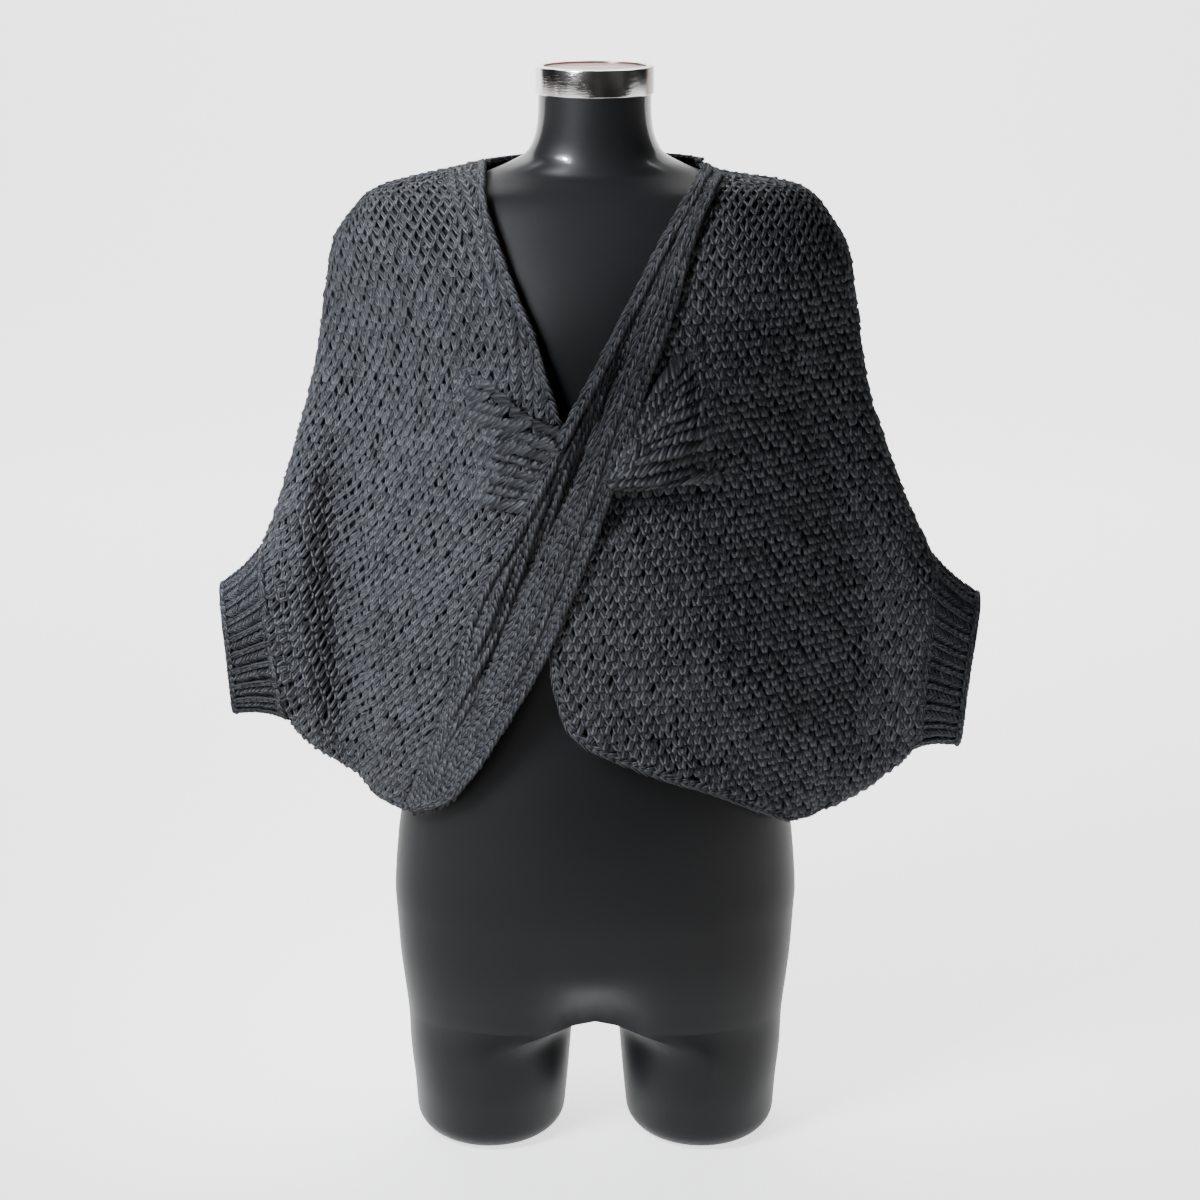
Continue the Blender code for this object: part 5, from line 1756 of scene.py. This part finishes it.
@dataclass
class Sweater:
    """The sweater's pieces, each laid over its own face of the worn form."""

    form: SweaterForm = field(default_factory=SweaterForm)
    # lines of the gathers, each from the twist outwards
    right_gathers: Sequence[Pairs] = (
        mm((-26.5, 627), (-55, 640), (-87, 663), (-106, 674)),
        mm((-84, 652), (-93, 654), (-104, 657)),
        mm((-69, 643), (-86, 645), (-104, 648)),
        mm((-52, 633.5), (-78, 636), (-104, 639)),
        mm((-30, 617.5), (-40, 624), (-70, 627.5), (-103, 630)),
        mm((-32, 610), (-50, 615.5), (-76, 618.5), (-102, 620.5)),
        mm((-35, 602), (-54, 606.8), (-78, 609), (-101, 611)),
        mm((-39, 594), (-58, 598), (-79, 599.8), (-100, 601.5)),
        mm((-43, 586), (-61, 589.2), (-80, 590.5), (-99, 592)),
        mm((-48, 578), (-65, 580.5), (-81, 581.5), (-98, 583)),
        mm((-53, 570), (-68, 571.8), (-83, 572.8), (-97, 573.5)),
    )
    left_gathers: Sequence[Pairs] = (
        mm((12, 589), (32, 585.5), (55, 588), (80, 590.5), (108, 590)),
        mm((16, 593.5), (42, 594.5), (80, 598.5), (115, 599)),
        mm((17, 599), (43, 603), (80, 607.5), (115, 609)),
        mm((19, 604.5), (44.5, 611.5), (80, 617), (113, 619.5)),
        mm((21, 610), (46, 620), (80, 626.5), (111, 630)),
        mm((23, 615.5), (47.5, 628), (80, 636), (109, 640.5)),
        mm((25, 621), (49, 635.5), (80, 646), (107, 651.5)),
        mm((27, 627), (51, 643.5), (79.5, 656), (105, 662.5)),
        mm((30, 633.5), (53, 652), (78.5, 666), (102, 673.5)),
        mm((33, 641), (55, 661), (77.5, 676.5), (99, 685)),
        mm((36, 649.5), (56.5, 670.5), (76, 687), (95, 696.5)),
    )
    front_columns: int = 38
    back_columns: int = 86
    row_steps: int = 4

    def __post_init__(self) -> None:
        """Work out the faces that the pieces are laid on."""
        self.right = Drape(self.form, Face.FRONT, -0.10)
        self.left = Drape(self.form, Face.FRONT, 0.10)
        self.behind = Drape(self.form, Face.BACK, 0.0)
        self.plain = Drape(self.form, Face.FRONT, 0.0, folds=0.0)

    def gathers(self, lines: Sequence[Pairs]) -> list[tuple[Array, Any]]:
        """Give the rows that stand up along the gathers and sink away from the twist."""
        found = []
        for k, line in enumerate(lines):
            tail = np.asarray(line[-1]) + 0.7 * (np.asarray(line[-1]) - np.asarray(line[-2]))
            line = (*line, tuple(tail))
            path = along(line, steps(0, len(line) - 1.0 - 0.3 * (k % 3), 10))
            share = np.linspace(0, 1, len(path))
            found.append((path, mix(0.0006, -0.0032, ease(0.30, 0.85, share))))
        return found

    def bare(self, lines: Sequence[Pairs]) -> list[Array]:
        """Give the part of each gather over which no other stitches are laid."""
        return [along(line, steps(0, 0.62 * (len(line) - 1), 6)) for line in lines]

    def front_grid(self, side: Side) -> tuple[Array, Array]:
        """Give a front's grid of flat points, rows by columns."""
        form = self.form
        rows = steps(0, form.hem, self.row_steps)
        share = 1 - (1 - np.linspace(0, 1, self.front_columns)) ** 1.4
        inner, outer = form.inner_edge(side, rows), along(form.outer(side), rows)
        top = form.shoulder_height(side, mix(inner[0, 0], outer[0, 0], share))
        return self.spread(inner, outer, share, top, 1 - rows / 3)

    def back_grid(self) -> tuple[Array, Array]:
        """Give the back's grid of flat points, rows by columns."""
        form = self.form
        rows = steps(0, form.hem, self.row_steps)
        right, left = along(form.outer_right, rows), along(form.outer_left, rows)
        straight = np.linspace(0, 1, self.back_columns)
        share = mix(0.5 - 0.5 * np.cos(math.pi * straight), straight, 0.45)
        x = mix(right[0, 0], left[0, 0], share)
        over_right = form.shoulder_height(Side.RIGHT, x)
        over_left = form.shoulder_height(Side.LEFT, x)
        level = mix(over_right.max(), over_left.max(), 0.5 + x / (2 * form.neck_half))
        top = np.where(np.abs(x) < form.neck_half, level, np.where(x < 0, over_right, over_left))
        return self.spread(right, left, share, top, 1 - rows / 4)

    def spread(self, first: Array, last: Array, share: Array, top: Array,
               fade: Array) -> tuple[Array, Array]:
        """Spread a grid between two runs of flat points.

        Args:
            first: The run at the first column, one point to a row.
            last: The run at the last column.
            share: Each column's place between them.
            top: The height of each column's first point.
            fade: How far each row still follows the line of those.

        Returns:
            The grid's places across and heights.
        """
        bow = top - mix(first[0, 1], last[0, 1], share)
        x, z = (mix(first[:, k:k + 1], last[:, k:k + 1], share[None, :]) for k in (0, 1))
        return x, z + bow[None, :] * np.maximum(fade[:, None], 0) ** 2

    def seam_chain(self, table: Pairs, first: int, last: int, spread: float) -> Strands:
        """Lay a chain on the seam plane from row to row, facing away from the middle."""
        flat = along(table, steps(first, last, 6))
        points = np.stack([flat[:, 0], np.full(len(flat), self.form.seam_y), flat[:, 1]], axis=1)
        run = unit(np.gradient(points, axis=0))
        out = np.cross(run, np.array([0.0, 1.0, 0.0]))
        centre = np.array([0.0, self.form.seam_y, 0.55])
        out *= np.sign(np.sum(out * (points - centre), axis=1, keepdims=True))
        return Loop(0.0070, spread, 0.0019).chain(points, unit(out), -0.0014)

    def straight(self, first: Sequence[float], last: Sequence[float], count: int) -> Array:
        """Give evenly spaced flat points on a straight line."""
        return rows_at(np.array([first, last], float), np.linspace(0, 1, count))

    def build(self) -> list[Object]:
        """Build every knitted piece."""
        form, layer = self.form, YarnLayer()
        made: list[Object] = []
        for panel in self.panels():
            made += panel.build(layer)
        made += CrossingBand(form, self.plain).build(layer)
        for side, flat, area in ((Side.RIGHT, (0.28, 0.05), 0.0125),
                                 (Side.LEFT, (0.30, 0.05), 0.0135)):
            made += RibbedCuff(form, self.right, self.behind, side, flat, area).build(layer)
        seams = []
        for side in Side:
            ridge, outer = form.ridge(side), form.outer(side)
            seams += [self.seam_chain(ridge, 0, len(ridge) - 1, 0.0020),
                      self.seam_chain(outer, 0, form.cuff_top, 0.0021),
                      self.seam_chain(outer, form.cuff_bottom, form.hem, 0.0021)]
        seam = layer.lay("seam_chains", Strands.joined(seams))
        stand_for(seam, "front_knit")
        return [*made, seam]

    def panels(self) -> list[KnittedPanel]:
        """Set up the back and the two fronts."""
        form = self.form
        rows = steps(0, form.hem, 8)
        neck = self.straight((-0.085, 0.8148), (0.085, 0.8148), 40)
        hem = self.straight(form.outer_right[-1], form.outer_left[-1], 60) + (0, 0.0015)
        neckline = form.inner_edge(Side.RIGHT, rows[rows <= 5.6]) + (-0.0012, 0)
        beside = form.inner_edge(Side.RIGHT, steps(9.6, form.hem - 0.1, 8)) + (-0.0016, 0.0006)
        right_hem, left_hem = (self.straight(
            form.inner_edge(side, [form.hem])[0], form.outer(side)[-1], 20) + (0, 0.0015)
            for side in (Side.RIGHT, Side.LEFT))
        free = form.inner_edge(Side.LEFT, steps(11.2, form.hem, 8)) + (0.0010, 0.0010)
        away = np.array([(0.0, 2.0), (0.1, 2.0)])
        back = KnittedPanel("back", "back_knit", self.behind, form.back_outline(),
                            self.back_grid, (0.62, 0.56), 0.277,
                            [(neck, 0.0022, -0.0008), (hem, 0.0024, -0.0008)], away,
                            knit=Knit(filled=0.35), parts=3)
        right = KnittedPanel("front_right", "front_knit", self.right,
                             form.front_outline(Side.RIGHT),
                             lambda: self.front_grid(Side.RIGHT), (0.27, 0.56), 0.099,
                             [(neckline, 0.0026, -0.0002), (right_hem, 0.0026, -0.0006),
                              (beside, 0.0026, -0.0010)], neckline,
                             self.gathers(self.right_gathers), self.bare(self.right_gathers),
                             Knit(lean_out=0.30, lean_in=0.42), seed=5)
        left = KnittedPanel("front_left", "front_knit", self.left,
                            form.front_outline(Side.LEFT),
                            lambda: self.front_grid(Side.LEFT), (0.33, 0.58), 0.129,
                            [(free, 0.0026, -0.0002), (left_hem, 0.0026, -0.0006)], away,
                            self.gathers(self.left_gathers), self.bare(self.left_gathers),
                            Knit(radius=0.0028, jitter=0.0011), seed=9)
        return [back, right, left]


# -------- the studio


@dataclass(frozen=True)
class Lamp:
    """One soft square light that faces a point, its grid letting out so many degrees."""

    name: str
    place: Triple
    target: Triple
    size: float
    power: float
    colour: Triple = (1, 1, 1)
    spread: float = 180.0

    def hang(self) -> None:
        """Hang the light."""
        data = bpy.data.lights.new(self.name, "AREA")
        data.spread = math.radians(self.spread)
        data.shape, data.size = "SQUARE", self.size
        data.energy, data.color = self.power, self.colour
        lamp = placed(self.name, data)
        lamp.location = self.place
        way = Vector(self.target) - Vector(self.place)
        lamp.rotation_euler = way.to_track_quat("-Z", "Y").to_euler()


@dataclass
class Studio:
    """The pale sweep, the soft lights and the camera."""

    camera_place: Triple = (0.004, -2.12, 1.07)
    tilt: float = 16.0
    lens: float = 81.3
    half_width: float = 5.0
    front_edge: float = -0.9
    bend_start: float = 2.2
    bend_radius: float = 1.5
    air_light: float = 0.04
    air_seen: float = 2.2
    lamps: Sequence[Lamp] = (
        Lamp("key", (-0.62, -0.62, 1.05), (-0.22, -0.05, 0.48), 0.42, 4.4, (0.91, 0.955, 1.0), 60),
        Lamp("neck", (-0.9, -1.0, 1.35), (0, 0, 0.84), 0.24, 0.55, (0.95, 0.97, 1.0), 7),
        Lamp("fill", (2.2, -2.4, 1.2), (0, 0, 0.5), 1.6, 0.2, (1.0, 0.94, 0.86)),
        Lamp("rim", (-1.2, 1.8, 2.2), (0, 0, 0.6), 1.0, 6),
        Lamp("sweep_floor", (0, 1.5, 2.7), (0, 1.9, 0.0), 2.6, 40),
        Lamp("sweep_wall", (0, 1.2, 3.4), (0, 3.6, 1.0), 3.0, 110),
    )

    def sheet(self, name: str, points: Sequence[Sequence[float]],
              faces: Sequence[Sequence[int]]) -> None:
        """Set up one smooth sheet of white paper."""
        mesh = bpy.data.meshes.new(name)
        mesh.from_pydata(points, [], faces)
        mesh.shade_smooth()
        mesh.materials.append(finish_of(StudioWhite()))
        placed(name, mesh)

    def sweep(self) -> None:
        """Build the floor and the wall behind it as one bent sheet."""
        profile = [(self.front_edge, 0.0), (self.bend_start, 0.0)]
        for step in range(1, 13):
            angle = math.pi / 2 * step / 12
            profile.append((self.bend_start + self.bend_radius * math.sin(angle),
                            self.bend_radius * (1 - math.cos(angle))))
        profile.append((self.bend_start + self.bend_radius, 5.0))
        points = [(x, y, z) for x in (-self.half_width, self.half_width) for y, z in profile]
        count = len(profile)
        self.sheet("sweep", points,
                   [(j, j + count, j + count + 1, j + 1) for j in range(count - 1)])

    def card(self) -> None:
        """Lay a white card on the floor in front, on the key light's side."""
        corners = [(-3.2, -2.8), (-0.5, -2.8), (-0.5, self.front_edge), (-3.2, self.front_edge)]
        self.sheet("floor_card", [(x, y, 0.0) for x, y in corners], [(0, 1, 2, 3)])

    def surround(self) -> None:
        """Make the air round the stage look pale while it gives little light."""
        world = bpy.data.worlds.new("studio")
        world.use_nodes = True
        graph = Graph(world.node_tree)
        dim, pale = (graph.wire("ShaderNodeBackground", None, {
            "Color": (1, 1, 1, 1), "Strength": strength})
            for strength in (self.air_light, self.air_seen))
        seen = graph.wire("ShaderNodeLightPath", output="Is Camera Ray")
        both = graph.wire("ShaderNodeMixShader", None, {0: seen, 1: dim, 2: pale})
        graph.fill(world.node_tree.nodes["World Output"], {"Surface": both})
        bpy.context.scene.world = world

    def build(self) -> None:
        """Set the stage, the lights, the world and the camera."""
        self.sweep()
        self.card()
        for lamp in self.lamps:
            lamp.hang()
        self.surround()
        data = bpy.data.cameras.new("camera")
        data.lens, data.sensor_width = self.lens, 36
        data.clip_end = 50
        camera = placed("camera", data)
        camera.location = self.camera_place
        camera.rotation_euler = (math.radians(90 - self.tilt), 0, 0)
        bpy.context.scene.camera = camera


def main() -> None:
    """Build the studio, the form and the sweater in order."""
    logging.basicConfig(level=logging.INFO, format="%(message)s")
    Studio().build()
    for piece in (*DressForm().build(), *Sweater().build()):
        LOG.info("%s: %d faces", piece.name, len(piece.data.polygons))


if __name__ == "__main__":
    main()
